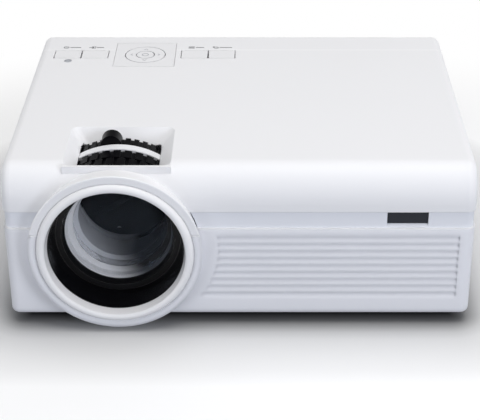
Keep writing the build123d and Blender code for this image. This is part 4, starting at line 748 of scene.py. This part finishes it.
class Workshop:
    """Holds the shared effects and makes each finish's material once."""

    def __init__(self) -> None:
        """Builds the shared effects."""
        self.effects = Effects()
        self.made: dict[str, bpy.types.Material] = {}

    def material(self, finish: Finish) -> bpy.types.Material:
        """Gives a finish's material, made at its first use.

        Args:
            finish: The finish.

        Returns:
            Its material.
        """
        if finish.name not in self.made:
            self.made[finish.name] = finish.material(self.effects)
        return self.made[finish.name]

    def dress(self, finish: Finish, *nodes: str) -> None:
        """Gives CAD nodes a finish.

        Args:
            finish: The finish.
            *nodes: The nodes' names.
        """
        material = self.material(finish)
        for name in nodes:
            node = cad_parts[name]
            if not node.material_slots:
                node.data.materials.append(material)
            for slot in node.material_slots:
                slot.material = material
            log.info("%s: %s", name, finish.name)

    def add(
        self, name: str, mesh: bmesh.types.BMesh, finish: Finish, body: str, slot: str
    ) -> bpy.types.Object:
        """Adds a piece of the scene's own.

        Args:
            name: The piece's name.
            mesh: Its shape, in metres, in the frame's axes.
            finish: Its finish.
            body: The CAD body that it rides on.
            slot: Not used.

        Returns:
            The new object.
        """
        data = bpy.data.meshes.new(name)
        bmesh.ops.recalc_face_normals(mesh, faces=mesh.faces)
        mesh.to_mesh(data)
        mesh.free()
        piece = bpy.data.objects.new(name, data)
        bpy.context.collection.objects.link(piece)
        data.materials.append(self.material(finish))
        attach(piece, body)
        log.info("%s rides on %s", name, body)
        return piece


def skin(
    mesh: bmesh.types.BMesh, rows: Sequence[Sequence[Sequence[float]]], closed: bool = False
) -> None:
    """Joins a line of four-cornered sections into a solid strip.

    Args:
        mesh: The mesh that takes the strip.
        rows: Each section's four corners in metres, in order round it.
        closed: Whether the last section joins the first.
    """
    rings = [[mesh.verts.new(corner) for corner in row] for row in rows]
    following = rings[1:] + rings[:1] if closed else rings[1:]
    for first, second in zip(rings, following):
        for side in range(4):
            other = (side + 1) % 4
            mesh.faces.new((first[side], first[other], second[other], second[side]))
    if not closed:
        mesh.faces.new(rings[0][::-1])
        mesh.faces.new(rings[-1])


def ribbon(
    mesh: bmesh.types.BMesh,
    points: Sequence[Point],
    width: float,
    low: float,
    high: float,
    closed: bool = False,
) -> None:
    """Adds a flat printed stroke that follows a line of points.

    Args:
        mesh: The mesh that takes the stroke.
        points: The line's points as X and Y in metres.
        width: The stroke's width in metres.
        low: The height of its underside in metres.
        high: The height of its top in metres.
        closed: Whether the last point joins the first.
    """
    count = len(points)
    rows = []
    for index, point in enumerate(points):
        before = points[(index - 1) % count] if closed or index else point
        after = points[(index + 1) % count] if closed or index < count - 1 else point
        run = (Vector(after) - Vector(before)).normalized()
        side = Vector((-run.y, run.x)) * width / 2
        left, right = Vector(point) + side, Vector(point) - side
        rows.append([(*left, high), (*right, high), (*right, low), (*left, low)])
    skin(mesh, rows, closed)


def arc(radius: float, start: float, stop: float, count: int = 20) -> list[Point]:
    """Gives points on an arc round the origin.

    Args:
        radius: The arc's radius.
        start: Its first angle in degrees.
        stop: Its last angle in degrees.
        count: How many steps it has.

    Returns:
        The points.
    """
    angles = [math.radians(start + (stop - start) * step / count) for step in range(count + 1)]
    return [(radius * math.cos(a), radius * math.sin(a)) for a in angles]


@dataclass
class Housing:
    """Top and bottom shells, the band between them, the dark window and the case screws.

    The cover has a painted highlight line near its back edge, the base one along its top lip.
    """

    back_highlight_d: float = 130.3
    back_highlight_half: Size = (98.4, 0.25, 0.4)
    lip_highlight_h: float = 43.1
    lip_highlight_half: Size = (110.0, 90.0, 0.5)
    cover: Moulding = Moulding(
        "white_cover",
        (0.83, 0.83, 0.845, 1.0),
        0.44,
        edge=0.5,
        tone=0.02,
        patch=9.0,
        # Painted highlight: a paler line across the top near the back, standing in for a faint crease
        # that catches the light.
        regions=(zone((0.0, back_highlight_d, TOP_H), back_highlight_half, (0.92, 0.92, 0.93, 1.0)),),
    )
    base: Moulding = Moulding(
        "white_base",
        # Bluer than the cover's colour: painted cool light, as falls on the front.
        (0.825, 0.83, 0.865, 1.0),
        0.44,
        edge=3.2,
        tone=0.02,
        patch=9.0,
        # Painted highlight: a paler band along the top edge of the base, where its lip catches the
        # light.
        regions=(zone((0.0, HALF_DEPTH, lip_highlight_h), lip_highlight_half, (0.97, 0.97, 0.985, 1.0)),),
    )
    strip: Moulding = Moulding("blue_grey_band", (0.79, 0.805, 0.85, 1.0), 0.5, edge=0.25)
    window: Moulding = Moulding(
        "dark_window",
        (0.02, 0.023, 0.031, 1.0),
        0.16,
        grain=400.0,
        bump=0.002,
        specular=0.2,
        edge=0.3,
    )
    screw: Metal = Metal("zinc_screw", (0.5, 0.5, 0.52, 1.0), 0.34)

    def build(self, shop: Workshop) -> None:
        """Dresses the shells and what closes them.

        Args:
            shop: Makes the materials and pieces.
        """
        shop.dress(self.cover, "top_shell")
        shop.dress(self.base, "bottom_shell")
        shop.dress(self.strip, "waist_band")
        shop.dress(self.window, "ir_window")
        shop.dress(self.screw, "case_screws", "board_screws", "guide_pins")


def round_lens(d: float, radius: float, colour: Colour) -> Bore:
    """Gives a sharp-edged place round the lens axis that shows another colour.

    Args:
        d: How far back it reaches.
        radius: Its radius.
        colour: The colour inside it.

    Returns:
        The place, its radius, the blur of its edge and its colour.
    """
    return spot(LENS_X, d, LENS_H), radius, RIM_BLUR, colour


def fade(colour: Colour) -> Bore:
    """Gives the soft shade that falls over the lens's inside from the right.

    Args:
        colour: The colour in full shade.

    Returns:
        The place, its radius, the blur of its edge and its colour.
    """
    return spot(*SHADE_SPOT), SHADE_R, SHADE_BLUR, colour


@dataclass
class Lens:
    """Lens ring, shroud, focus wheel, keystone ring, barrel and glass.

    The tube is black inside as far back as tube_d. The barrel's bore is pale as far as barrel_d,
    with a shade over it that leaves out what is ahead of mouth_d, and its rim is black.
    """

    tube_r: float = 32.0
    tube_d: float = 14.5
    barrel_r: float = 24.7
    barrel_d: float = 60.0
    mouth_d: float = 14.8
    rim_d: float = 12.3
    coating: Colour = (0.6, 0.75, 1.0, 1.0)
    pale: Colour = (0.86, 0.86, 0.87, 1.0)
    ring: Moulding = Moulding(
        "white_gloss_ring", (0.88, 0.875, 0.88, 1.0), 0.24, coat=0.35, edge=0.3, bump=0.006
    )
    tube: Moulding = Moulding(
        "white_tube",
        (0.8, 0.805, 0.825, 1.0),
        0.3,
        edge=0.2,
        bump=0.006,
        bores=(round_lens(tube_d, tube_r, (0.004, 0.004, 0.005, 1.0)),),
    )
    shroud: Moulding = Moulding(
        "black_gloss_shroud", (0.004, 0.004, 0.005, 1.0), 0.16, specular=0.2, edge=0.3, bump=0.004
    )
    grip: Moulding = Moulding(
        "black_grip",
        (0.002, 0.002, 0.003, 1.0),
        0.3,
        grain=1500.0,
        edge=0.25,
        bump=0.01,
        specular=0.08,
    )
    barrel: Moulding = Moulding(
        "black_barrel",
        (0.01, 0.01, 0.011, 1.0),
        0.3,
        edge=0.2,
        specular=0.15,
        bump=0.006,
        bores=(
            round_lens(barrel_d, barrel_r, pale),
            fade((0.01, 0.01, 0.011, 1.0)),
            round_lens(mouth_d, barrel_r, pale),
            round_lens(rim_d, barrel_r, (0.006, 0.006, 0.007, 1.0)),
        ),
    )
    front_glass: Glass = Glass("coated_front_glass", (0.97, 0.975, 0.985, 1.0), coating, ior=1.16)
    inner_glass: Glass = Glass("coated_inner_glass", (0.965, 0.975, 0.99, 1.0), coating, ior=1.08)
    spacer: Moulding = Moulding(
        "pale_spacer",
        (0.9, 0.9, 0.91, 1.0),
        0.4,
        edge=0.2,
        bump=0.006,
        bores=(fade((0.11, 0.12, 0.135, 1.0)),),
    )
    inner_spacer: Moulding = Moulding(
        "grey_spacer",
        (0.88, 0.88, 0.9, 1.0),
        0.35,
        edge=0.2,
        bump=0.006,
        bores=(fade((0.04, 0.043, 0.05, 1.0)),),
    )
    retainer: Moulding = Moulding(
        "black_retainer", (0.006, 0.006, 0.007, 1.0), 0.25, specular=0.25, edge=0.2, bump=0.004
    )

    def build(self, shop: Workshop) -> None:
        """Dresses everything round the lens axis.

        Args:
            shop: Makes the materials and pieces.
        """
        shop.dress(self.ring, "lens_ring")
        shop.dress(self.tube, "lens_base")
        shop.dress(self.shroud, "lens_shroud")
        shop.dress(self.grip, "focus_wheel", "keystone_ring")
        shop.dress(self.barrel, "focus_barrel")
        shop.dress(self.front_glass, "front_lens")
        shop.dress(self.inner_glass, "middle_lens", "rear_lens", "condenser_lens")
        shop.dress(self.spacer, "front_spacer")
        shop.dress(self.inner_spacer, "rear_spacer")
        shop.dress(self.retainer, "lens_retainer")


class Symbol(Enum):
    """Generic signs printed behind the keys."""

    POWER = "power"
    SOURCE = "source"
    MENU = "menu"
    BACK = "back"

    def strokes(self) -> list[list[Point]]:
        """Gives the sign's strokes in millimetres round its own middle.

        Returns:
            Each stroke's points.
        """
        if self is Symbol.POWER:
            return [arc(1.1, 120, 420), [(0.0, 0.1), (0.0, 1.35)]]
        if self is Symbol.SOURCE:
            screen = [(-0.4, 1.0), (1.6, 1.0), (1.6, -1.0), (-0.4, -1.0)]
            return [screen, [(-1.7, 0.0), (0.7, 0.0)], [(0.1, 0.6), (0.75, 0.0), (0.1, -0.6)]]
        if self is Symbol.MENU:
            return [[(-1.5, y), (1.5, y)] for y in (-0.9, 0.0, 0.9)]
        bend = [(0.6 + x, -0.25 + y) for x, y in arc(0.8, 90, -90, 8)]
        curve = [(-1.3, 0.55), (0.6, 0.55), *bend, (-0.6, -1.05)]
        return [curve, [(-0.6, 1.2), (-1.35, 0.55), (-0.6, -0.1)]]


@dataclass
class KeyPad:
    """Flush keys, the round pad and its plate, the status light and the printed signs."""

    panel_x: float = -47.5
    panel_d: float = 124.3
    mark_r: float = 6.9
    mark_tail: float = 0.7
    mark_tip: float = 0.3
    mark_half: float = 0.9
    key_ring_r: float = 1.5
    sign_d: float = 133.4
    sign_xs: tuple[float, ...] = (-84.5, -72.3, -22.6, -9.7)
    sign_lengths: tuple[float, ...] = (8.5, 7.0, 7.5, 9.5)
    sign_gap: float = 0.8
    sign_half: float = 1.3
    stroke: float = 0.42
    bar: float = 0.62
    print_t: float = 0.04
    light_x: float = -84.7
    light_d: float = 116.5
    collar_r: float = 1.6
    collar_width: float = 0.45
    collar_rise: float = 0.1
    ring_steps: int = 24
    key: Moulding = Moulding("white_key", (0.82, 0.82, 0.835, 1.0), 0.36, edge=0.35)
    ink: Moulding = Moulding("grey_print", (0.12, 0.12, 0.13, 1.0), 0.55, bump=0.004)
    pale_ink: Moulding = Moulding("pale_print", (0.45, 0.46, 0.49, 1.0), 0.55, bump=0.004)
    switch: Moulding = Moulding("switch_plastic", (0.03, 0.03, 0.032, 1.0), 0.4)
    hub: Moulding = Moulding("soft_hub", (0.42, 0.42, 0.44, 1.0), 0.7)
    board: Circuit = Circuit("key_board_green")
    light: Moulding = Moulding(
        "milky_light_pipe", (0.5, 0.52, 0.56, 1.0), 0.25, coat=0.3, bump=0.002
    )

    def build(self, shop: Workshop) -> None:
        """Dresses the keys and prints their signs.

        Args:
            shop: Makes the materials and pieces.
        """
        shop.dress(self.key, "power_key", "source_key", "menu_key", "back_key")
        shop.dress(self.key, "nav_panel", "nav_ring", "ok_key")
        shop.dress(self.hub, "nav_hub")
        shop.dress(self.board, "key_board")
        shop.dress(self.switch, "key_switches")
        shop.dress(self.light, "status_light")
        for symbol, x, length in zip(Symbol, self.sign_xs, self.sign_lengths):
            self.sign(shop, symbol, x, length)
        self.pad_marks(shop)
        self.light_ring(shop)

    def heights(self) -> tuple[float, float]:
        """Gives the underside and top of a print on the top cover, in metres."""
        top = (FOOT_H + TOP_H) * MM
        return top - self.print_t * MM / 2, top + self.print_t * MM

    def sign(self, shop: Workshop, symbol: Symbol, x: float, length: float) -> None:
        """Prints one sign and a plain bar behind its key.

        Args:
            shop: Makes the piece.
            symbol: Which sign.
            x: The middle of the sign and bar together.
            length: Their length together.
        """
        mesh = bmesh.new()
        middle = spot(x - length / 2 + self.sign_half, self.sign_d, TOP_H)
        for points in symbol.strokes():
            ribbon(mesh, self.moved(points, middle), self.stroke * MM, *self.heights())
        start = middle.x + (self.sign_half + self.sign_gap) * MM
        bar = [(start, middle.y), (spot(x + length / 2, 0.0, 0.0).x, middle.y)]
        ribbon(mesh, bar, self.bar * MM, *self.heights())
        shop.add(f"{symbol.value}_sign", mesh, self.ink, "housing", "white_cover")

    def moved(self, points: Sequence[Point], middle: Vector) -> list[Point]:
        """Moves points in millimetres to a middle in metres."""
        return [(middle.x + x * MM, middle.y + y * MM) for x, y in points]

    def ring(self, middle: Vector, radius: float, width: float, rise: float) -> bmesh.types.BMesh:
        """Makes a printed ring.

        Args:
            middle: Its middle in metres.
            radius: Its radius in millimetres.
            width: Its width in millimetres.
            rise: How much thicker it is than other prints, in millimetres.

        Returns:
            Its mesh.
        """
        mesh = bmesh.new()
        last = self.ring_steps - 1
        points = arc(radius, 0, 360 * last / self.ring_steps, last)
        low, high = self.heights()
        ribbon(mesh, self.moved(points, middle), width * MM, low, high + rise * MM, True)
        return mesh

    def pad_marks(self, shop: Workshop) -> None:
        """Prints four arrow heads on the round pad and a ring on its centre key.

        Args:
            shop: Makes the materials and pieces.
        """
        mesh = bmesh.new()
        middle = spot(self.panel_x, self.panel_d, TOP_H)
        tail, tip = self.mark_r - self.mark_tail, self.mark_r + self.mark_tip
        for quarter in range(4):
            turn = math.radians(90 * quarter)
            cos, sin = math.cos(turn), math.sin(turn)
            head = ((tail, self.mark_half), (tip, 0.0), (tail, -self.mark_half))
            line = self.moved([(x * cos - y * sin, x * sin + y * cos) for x, y in head], middle)
            ribbon(mesh, line, self.stroke * MM, *self.heights())
        shop.add("pad_arrows", mesh, self.pale_ink, "nav_ring", "white_key")
        mesh = self.ring(middle, self.key_ring_r, self.stroke, 0.0)
        shop.add("centre_key_ring", mesh, self.pale_ink, "ok_key", "white_key")

    def light_ring(self, shop: Workshop) -> None:
        """Adds the grey collar round the status light.

        Args:
            shop: Makes the materials and pieces.
        """
        middle = spot(self.light_x, self.light_d, TOP_H)
        mesh = self.ring(middle, self.collar_r, self.collar_width, self.collar_rise)
        shop.add("light_collar", mesh, self.pale_ink, "housing", "light")


@dataclass
class LightEngine:
    """Light box behind the lens, its mirror, lenses and panel, the lamp and its heat sink."""

    axis_d: float = 79.0
    plate_x: float = -18.0
    panel_x: float = -8.5
    panel_half: Size = (3.0, 24.0, 19.0)
    lamp_x: float = 35.2
    lamp_half: Size = (1.0, 5.0, 5.0)
    box: Moulding = Moulding("engine_black", (0.018, 0.018, 0.02, 1.0), 0.55, bump=0.03)
    mirror: Metal = Metal("front_silver", (0.93, 0.93, 0.95, 1.0), 0.12, streak=20.0)
    plate: Glass = Glass(
        "ringed_plate_lens",
        (0.9, 0.93, 0.93, 1.0),
        rings=2500.0,
        ring_centre=spot(plate_x, axis_d, LENS_H),
    )
    panel: Moulding = Moulding(
        "lcd_panel_dark",
        (0.02, 0.025, 0.04, 1.0),
        0.12,
        coat=0.6,
        bump=0.002,
        regions=(zone((panel_x, axis_d, LENS_H), panel_half, (0.08, 0.1, 0.16, 1.0)),),
    )
    lamp_board: Metal = Metal(
        "lamp_board",
        (0.75, 0.75, 0.76, 1.0),
        0.45,
        regions=(zone((lamp_x, axis_d, LENS_H), lamp_half, (0.85, 0.62, 0.06, 1.0)),),
    )
    sink: Metal = Metal("extruded_aluminium", (0.72, 0.73, 0.75, 1.0), 0.38)

    def build(self, shop: Workshop) -> None:
        """Dresses the light engine from the lamp to the mirror.

        Args:
            shop: Makes the materials and pieces.
        """
        shop.dress(self.box, "engine_housing", "engine_cover", "mirror_frame")
        shop.dress(self.mirror, "fold_mirror")
        shop.dress(self.plate, "fresnel_lenses")
        shop.dress(self.panel, "lcd_panel")
        shop.dress(self.sink, "heat_sink")
        shop.dress(self.lamp_board, "led_board")


@dataclass
class Cooling:
    """Two fans and the dust filter behind the louvres."""

    plastic: Moulding = Moulding("fan_plastic", (0.02, 0.02, 0.022, 1.0), 0.4, grain=1200.0)
    blade: Moulding = Moulding("blade_plastic", (0.03, 0.03, 0.033, 1.0), 0.3, grain=1200.0)
    filter: Foam = Foam("filter_foam", (0.03, 0.03, 0.033, 1.0))

    def build(self, shop: Workshop) -> None:
        """Dresses the fans and the filter.

        Args:
            shop: Makes the materials and pieces.
        """
        shop.dress(self.plastic, "exhaust_frame", "intake_frame")
        shop.dress(self.blade, "exhaust_rotor", "intake_rotor")
        shop.dress(self.filter, "dust_filter")


@dataclass(frozen=True)
class Blades:
    """A row of sprung gold blades on a socket's tongue, bent up and in again at the mouth.

    Bend and crest are how far from the mouth a blade starts to rise and stands highest. The shares
    are its width there and at its tip, as parts of its full width.
    """

    name: str
    x: float
    pitch: float
    count: int
    width: float
    h: float
    start_d: float
    mouth_d: float
    half_t: float = 0.06
    bend: float = 1.2
    crest: float = 0.5
    lift: float = 0.05
    crest_share: float = 0.9
    tip_share: float = 0.6

    def mesh(self) -> bmesh.types.BMesh:
        """Makes the whole row.

        Returns:
            Its mesh in metres.
        """
        mesh = bmesh.new()
        sections = (
            (self.start_d, 0.0, 1.0),
            (self.mouth_d - self.bend, 0.0, 1.0),
            (self.mouth_d - self.crest, self.lift, self.crest_share),
            (self.mouth_d, -self.lift, self.tip_share),
        )
        t = self.half_t
        for index in range(self.count):
            middle = self.x + (index - (self.count - 1) / 2) * self.pitch
            rows = []
            for d, lift, share in sections:
                half = self.width * share / 2
                corners = ((-half, t), (half, t), (half, -t), (-half, -t))
                rows.append([spot(middle + x, d, self.h + lift + h) for x, h in corners])
            skin(mesh, rows)
        return mesh


@dataclass
class Electronics:
    """Boards on the floor, the sockets at the back, the speaker and the receiver."""

    chip: Region = zone((-24.5, 122.0, 12.0), (8.3, 8.3, 2.3), (0.014, 0.014, 0.015, 1.0))
    transformer: Region = zone((46.0, 25.5, 18.0), (11.3, 9.3, 8.2), (0.45, 0.33, 0.03, 1.0))
    capacitor_xs: tuple[float, float] = (22.0, 70.0)
    capacitor_half: Size = (7.3, 7.3, 11.2)
    capacitor_d: float = 25.5
    capacitor_h: float = 21.0
    can_colour: Colour = (0.015, 0.02, 0.05, 1.0)
    hdmi: Blades = Blades(
        "hdmi_contacts", x=-66.0, pitch=0.8, count=10, width=0.4, h=13.52, start_d=140.0, mouth_d=147.0
    )
    usb: Blades = Blades(
        "usb_contacts", x=-42.0, pitch=2.4, count=4, width=1.1, h=13.76, start_d=138.0, mouth_d=148.2
    )
    main: Circuit = Circuit("main_board_green", regions=(chip,))
    plated: Metal = Metal("plated_steel", (0.66, 0.66, 0.68, 1.0), 0.26)
    gold: Metal = Metal("gold_contact", (0.83, 0.62, 0.25, 1.0), 0.22)
    black: Moulding = Moulding("socket_black", (0.018, 0.018, 0.02, 1.0), 0.4)
    pulp: Foam = Foam("pressed_pulp", (0.035, 0.035, 0.038, 1.0), cell=2600.0, bump=0.1)
    lead: Moulding = Moulding("receiver_black", (0.02, 0.012, 0.02, 1.0), 0.15, coat=0.5)

    def build(self, shop: Workshop) -> None:
        """Dresses the electronics and adds the sockets' contacts.

        Args:
            shop: Makes the materials and pieces.
        """
        shop.dress(self.main, "main_board")
        shop.dress(self.power_finish(), "power_board")
        shop.dress(self.plated, "hdmi_socket", "usb_socket", "card_socket")
        shop.dress(self.black, "round_jacks", "power_inlet", "speaker_frame")
        shop.dress(self.pulp, "speaker_cone")
        shop.dress(self.lead, "ir_receiver")
        for blades in (self.hdmi, self.usb):
            shop.add(blades.name, blades.mesh(), self.gold, "housing", "socket")

    def power_finish(self) -> Circuit:
        """Gives the power board's finish, with its transformer and capacitors.

        Returns:
            The finish.
        """
        cans = [
            zone((x, self.capacitor_d, self.capacitor_h), self.capacitor_half, self.can_colour)
            for x in self.capacitor_xs
        ]
        return Circuit(
            "power_board_tan",
            (0.2, 0.13, 0.05, 1.0),
            (0.26, 0.18, 0.08, 1.0),
            run=300.0,
            regions=(self.transformer, *cans),
        )


@dataclass
class Base:
    """Rubber feet, the height foot and the tripod insert."""

    rubber: Moulding = Moulding(
        "foot_rubber", (0.03, 0.03, 0.031, 1.0), 0.75, grain=900.0, bump=0.05
    )
    leg: Moulding = Moulding("leg_black", (0.03, 0.03, 0.032, 1.0), 0.4, grain=1600.0)
    brass: Threaded = Threaded(
        "turned_brass", (0.72, 0.53, 0.24, 1.0), spot(0.0, HALF_DEPTH, 0.0), pitch=1.27
    )

    def build(self, shop: Workshop) -> None:
        """Dresses what the projector stands on.

        Args:
            shop: Makes the materials and pieces.
        """
        shop.dress(self.rubber, "rubber_feet", "foot_pad", "foot_friction_ring")
        shop.dress(self.leg, "foot_leg")
        shop.dress(self.brass, "tripod_insert")


@dataclass(frozen=True)
class Lamp:
    """A square soft box, with its place, aim and size in metres and its power in watts."""

    name: str
    place: Place
    aim: Place
    size: float
    power: float
    colour: Tint

    def hang(self) -> None:
        """Puts it in the scene, where gloss doesn't show it."""
        data = bpy.data.lights.new(self.name, "AREA")
        data.shape = "SQUARE"
        data.size = self.size
        data.energy = self.power
        data.color = self.colour
        lamp = bpy.data.objects.new(self.name, data)
        bpy.context.collection.objects.link(lamp)
        lamp.location = self.place
        lamp.rotation_mode = "QUATERNION"
        beam = Vector(self.aim) - Vector(self.place)
        lamp.rotation_quaternion = beam.to_track_quat("-Z", "Y")
        lamp.visible_glossy = False


@dataclass
class Studio:
    """Camera, lamps, world and floor.

    The floor's half width, the camera's clip and the places that lamps aim at are in metres.
    """

    camera_x: float = 6.765
    camera_ahead: float = 498.549
    camera_h: float = 332.8
    pitch_deg: float = 28.54
    focal: float = 102.35
    sensor: float = 36.0
    shift: tuple[float, float] = (-0.0322, -0.0417)
    clip: float = 0.01
    sky: float = 0.4
    sky_colour: Colour = (0.965, 0.975, 1.0, 1.0)
    ceiling: float = 0.1
    ceiling_rise: float = 0.45
    floor_half: float = 4.0
    floor_cells: int = 8
    floor_seen: Colour = (0.93, 0.93, 0.93, 1.0)
    floor_lit: Colour = (0.9, 0.94, 1.0, 1.0)
    # Painted shadow: the light that the floor passes up is dimmed to this under the body.
    floor_shadow_bounce: Colour = (0.22, 0.22, 0.23, 1.0)
    white_reach: float = 170.0
    shade_under: float = 8.0
    shade_reach: float = 54.0
    shade_steps: tuple[Point, ...] = (
        (0.0, 0.04),
        (0.1, 0.21),
        (0.19, 0.39),
        (0.28, 0.6),
        (0.37, 0.71),
        (0.6, 0.8),
        (0.8, 0.88),
        (1.0, 1.0),
    )
    new_stop: float = 0.5
    top: Place = (0.0, 0.0, 0.05)
    front: Place = (0.0, -0.07, 0.04)
    warm: Tint = (1.0, 0.99, 0.97)
    cool: Tint = (0.88, 0.91, 1.0)
    lamps: tuple[Lamp, ...] = (
        Lamp("top_lamp", (0.15, -0.12, 1.2), top, size=0.8, power=9.1, colour=warm),
        Lamp("fill_lamp", (-0.75, -0.9, 0.16), front, size=0.5, power=2.2, colour=cool),
        Lamp("side_lamp", (0.66, -0.74, 0.36), front, size=0.35, power=3.5, colour=cool),
    )

    def build(self) -> None:
        """Sets up the picture round the projector."""
        self.camera()
        self.world()
        self.floor()
        for lamp in self.lamps:
            lamp.hang()
        bpy.context.scene.view_settings.view_transform = "Standard"

    def camera(self) -> None:
        """Puts the camera where the photograph's was."""
        data = bpy.data.cameras.new("camera")
        camera = bpy.data.objects.new("camera", data)
        bpy.context.collection.objects.link(camera)
        camera.location = spot(self.camera_x, -self.camera_ahead, self.camera_h)
        camera.rotation_euler = (math.radians(90 - self.pitch_deg), 0.0, 0.0)
        data.sensor_fit = "HORIZONTAL"
        data.sensor_width = self.sensor
        data.lens = self.focal
        data.shift_x, data.shift_y = self.shift
        data.clip_start = self.clip
        bpy.context.scene.camera = camera

    def world(self) -> None:
        """Surrounds the scene with soft light: white where it is seen, darker high up in gloss."""
        world = bpy.data.worlds.new("studio")
        bpy.context.scene.world = world
        world.use_nodes = True
        graph = Graph(world.node_tree)
        soft = graph.add("Background", {"Color": self.sky_colour, "Strength": self.sky})
        white = graph.add("Background", {"Color": WHITE, "Strength": 1.0})
        rise = graph.parts(graph.add("TexCoord").outputs["Generated"])[2]
        dim = graph.ease(rise, 0.0, self.ceiling_rise, 1.0, self.ceiling)
        room = graph.add("Background", {"Color": WHITE, "Strength": dim})
        path = graph.add("LightPath").outputs
        unseen = graph.either(path["Is Glossy Ray"], soft, room)
        seen = graph.maths("MAXIMUM", path["Is Camera Ray"], path["Is Transmission Ray"])
        whole = graph.either(seen, unseen, white)
        graph.add("OutputWorld", {"Surface": whole.outputs[0]})

    def floor(self) -> None:
        """Lays a floor, clear from below, that shows white, with the projector's real shadow and a
        painted shadow round it.
        """
        mesh = bmesh.new()
        cells = {"x_segments": self.floor_cells, "y_segments": self.floor_cells}
        bmesh.ops.create_grid(mesh, size=self.floor_half, **cells)
        data = bpy.data.meshes.new("floor")
        mesh.to_mesh(data)
        mesh.free()
        floor = bpy.data.objects.new("floor", data)
        bpy.context.collection.objects.link(floor)
        material = bpy.data.materials.new("studio_floor")
        material.use_nodes = True
        graph = Graph(material.node_tree)
        reach = self.reach(graph)
        shade = self.shade(graph, reach)
        # The painted shadow dims the light that the floor passes up and darkens the white that it
        # shows, over its real shadow.
        tint = graph.blend(shade, self.floor_shadow_bounce, self.floor_lit)
        lit = graph.add("BsdfTransparent", {"Color": tint})
        near = graph.add("BsdfDiffuse", {"Color": graph.blend(shade, BLACK, self.floor_seen)})
        white = graph.add("Emission", {"Color": WHITE, "Strength": 1.0})
        far = graph.ease(reach, self.shade_reach * MM, self.white_reach * MM)
        path = graph.add("LightPath").outputs
        looks = graph.maths("MAXIMUM", path["Is Camera Ray"], path["Is Glossy Ray"])
        looks = graph.maths("MAXIMUM", looks, path["Is Transmission Ray"])
        upper = graph.either(looks, lit, graph.either(far, near, white))
        below = graph.add("NewGeometry").outputs["Backfacing"]
        sides = graph.either(below, upper, graph.add("BsdfTransparent"))
        graph.add("OutputMaterial", {"Surface": sides.outputs[0]})
        data.materials.append(material)

    def reach(self, graph: Graph) -> bpy.types.NodeSocket:
        """Works out how far a place on the floor is from the projector's footprint.

        Args:
            graph: The floor material's graph.

        Returns:
            The socket that carries the distance in metres, from a little way under the body.
        """
        low, high = (Vector(corner) for corner in CAD_BOX)
        middle = spot(0.0, HALF_DEPTH, 0.0)
        under = self.shade_under * MM
        half = ((high.x - low.x) / 2 - under, HALF_DEPTH * MM - under, 0.0)
        away = graph.vector("SUBTRACT", graph.here(), (middle.x, middle.y, 0.0))
        past = graph.vector("SUBTRACT", graph.vector("ABSOLUTE", away), half)
        return graph.vector("LENGTH", graph.vector("MAXIMUM", past))

    def shade(self, graph: Graph, reach: bpy.types.NodeSocket) -> bpy.types.NodeSocket:
        """Works out the floor's painted shadow, which pales with its distance from the projector.

        Args:
            graph: The floor material's graph.
            reach: The distance from the footprint.

        Returns:
            The socket that carries the painted share of light, from dark under the body to 1.
        """
        share = graph.maths("DIVIDE", reach, self.shade_reach * MM)
        ramp = graph.add("ValToRGB", {"Fac": share})
        stops = ramp.color_ramp.elements
        # Each new stop gets its own place in the loop after this one.
        while len(stops) < len(self.shade_steps):
            stops.new(self.new_stop)
        for stop, (place, light) in zip(stops, self.shade_steps):
            stop.position = place
            stop.color = (light, light, light, 1.0)
        return ramp.outputs["Color"]


def write_sizes() -> None:
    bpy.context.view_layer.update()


def main() -> None:
    """Builds the studio and dresses every sub-assembly in order."""
    shop = Workshop()
    Studio().build()
    for assembly in (Housing(), Lens(), KeyPad(), LightEngine(), Cooling(), Electronics(), Base()):
        assembly.build(shop)
        log.info("%s done", type(assembly).__name__)
    write_sizes()


if __name__ == "__main__":
    main()
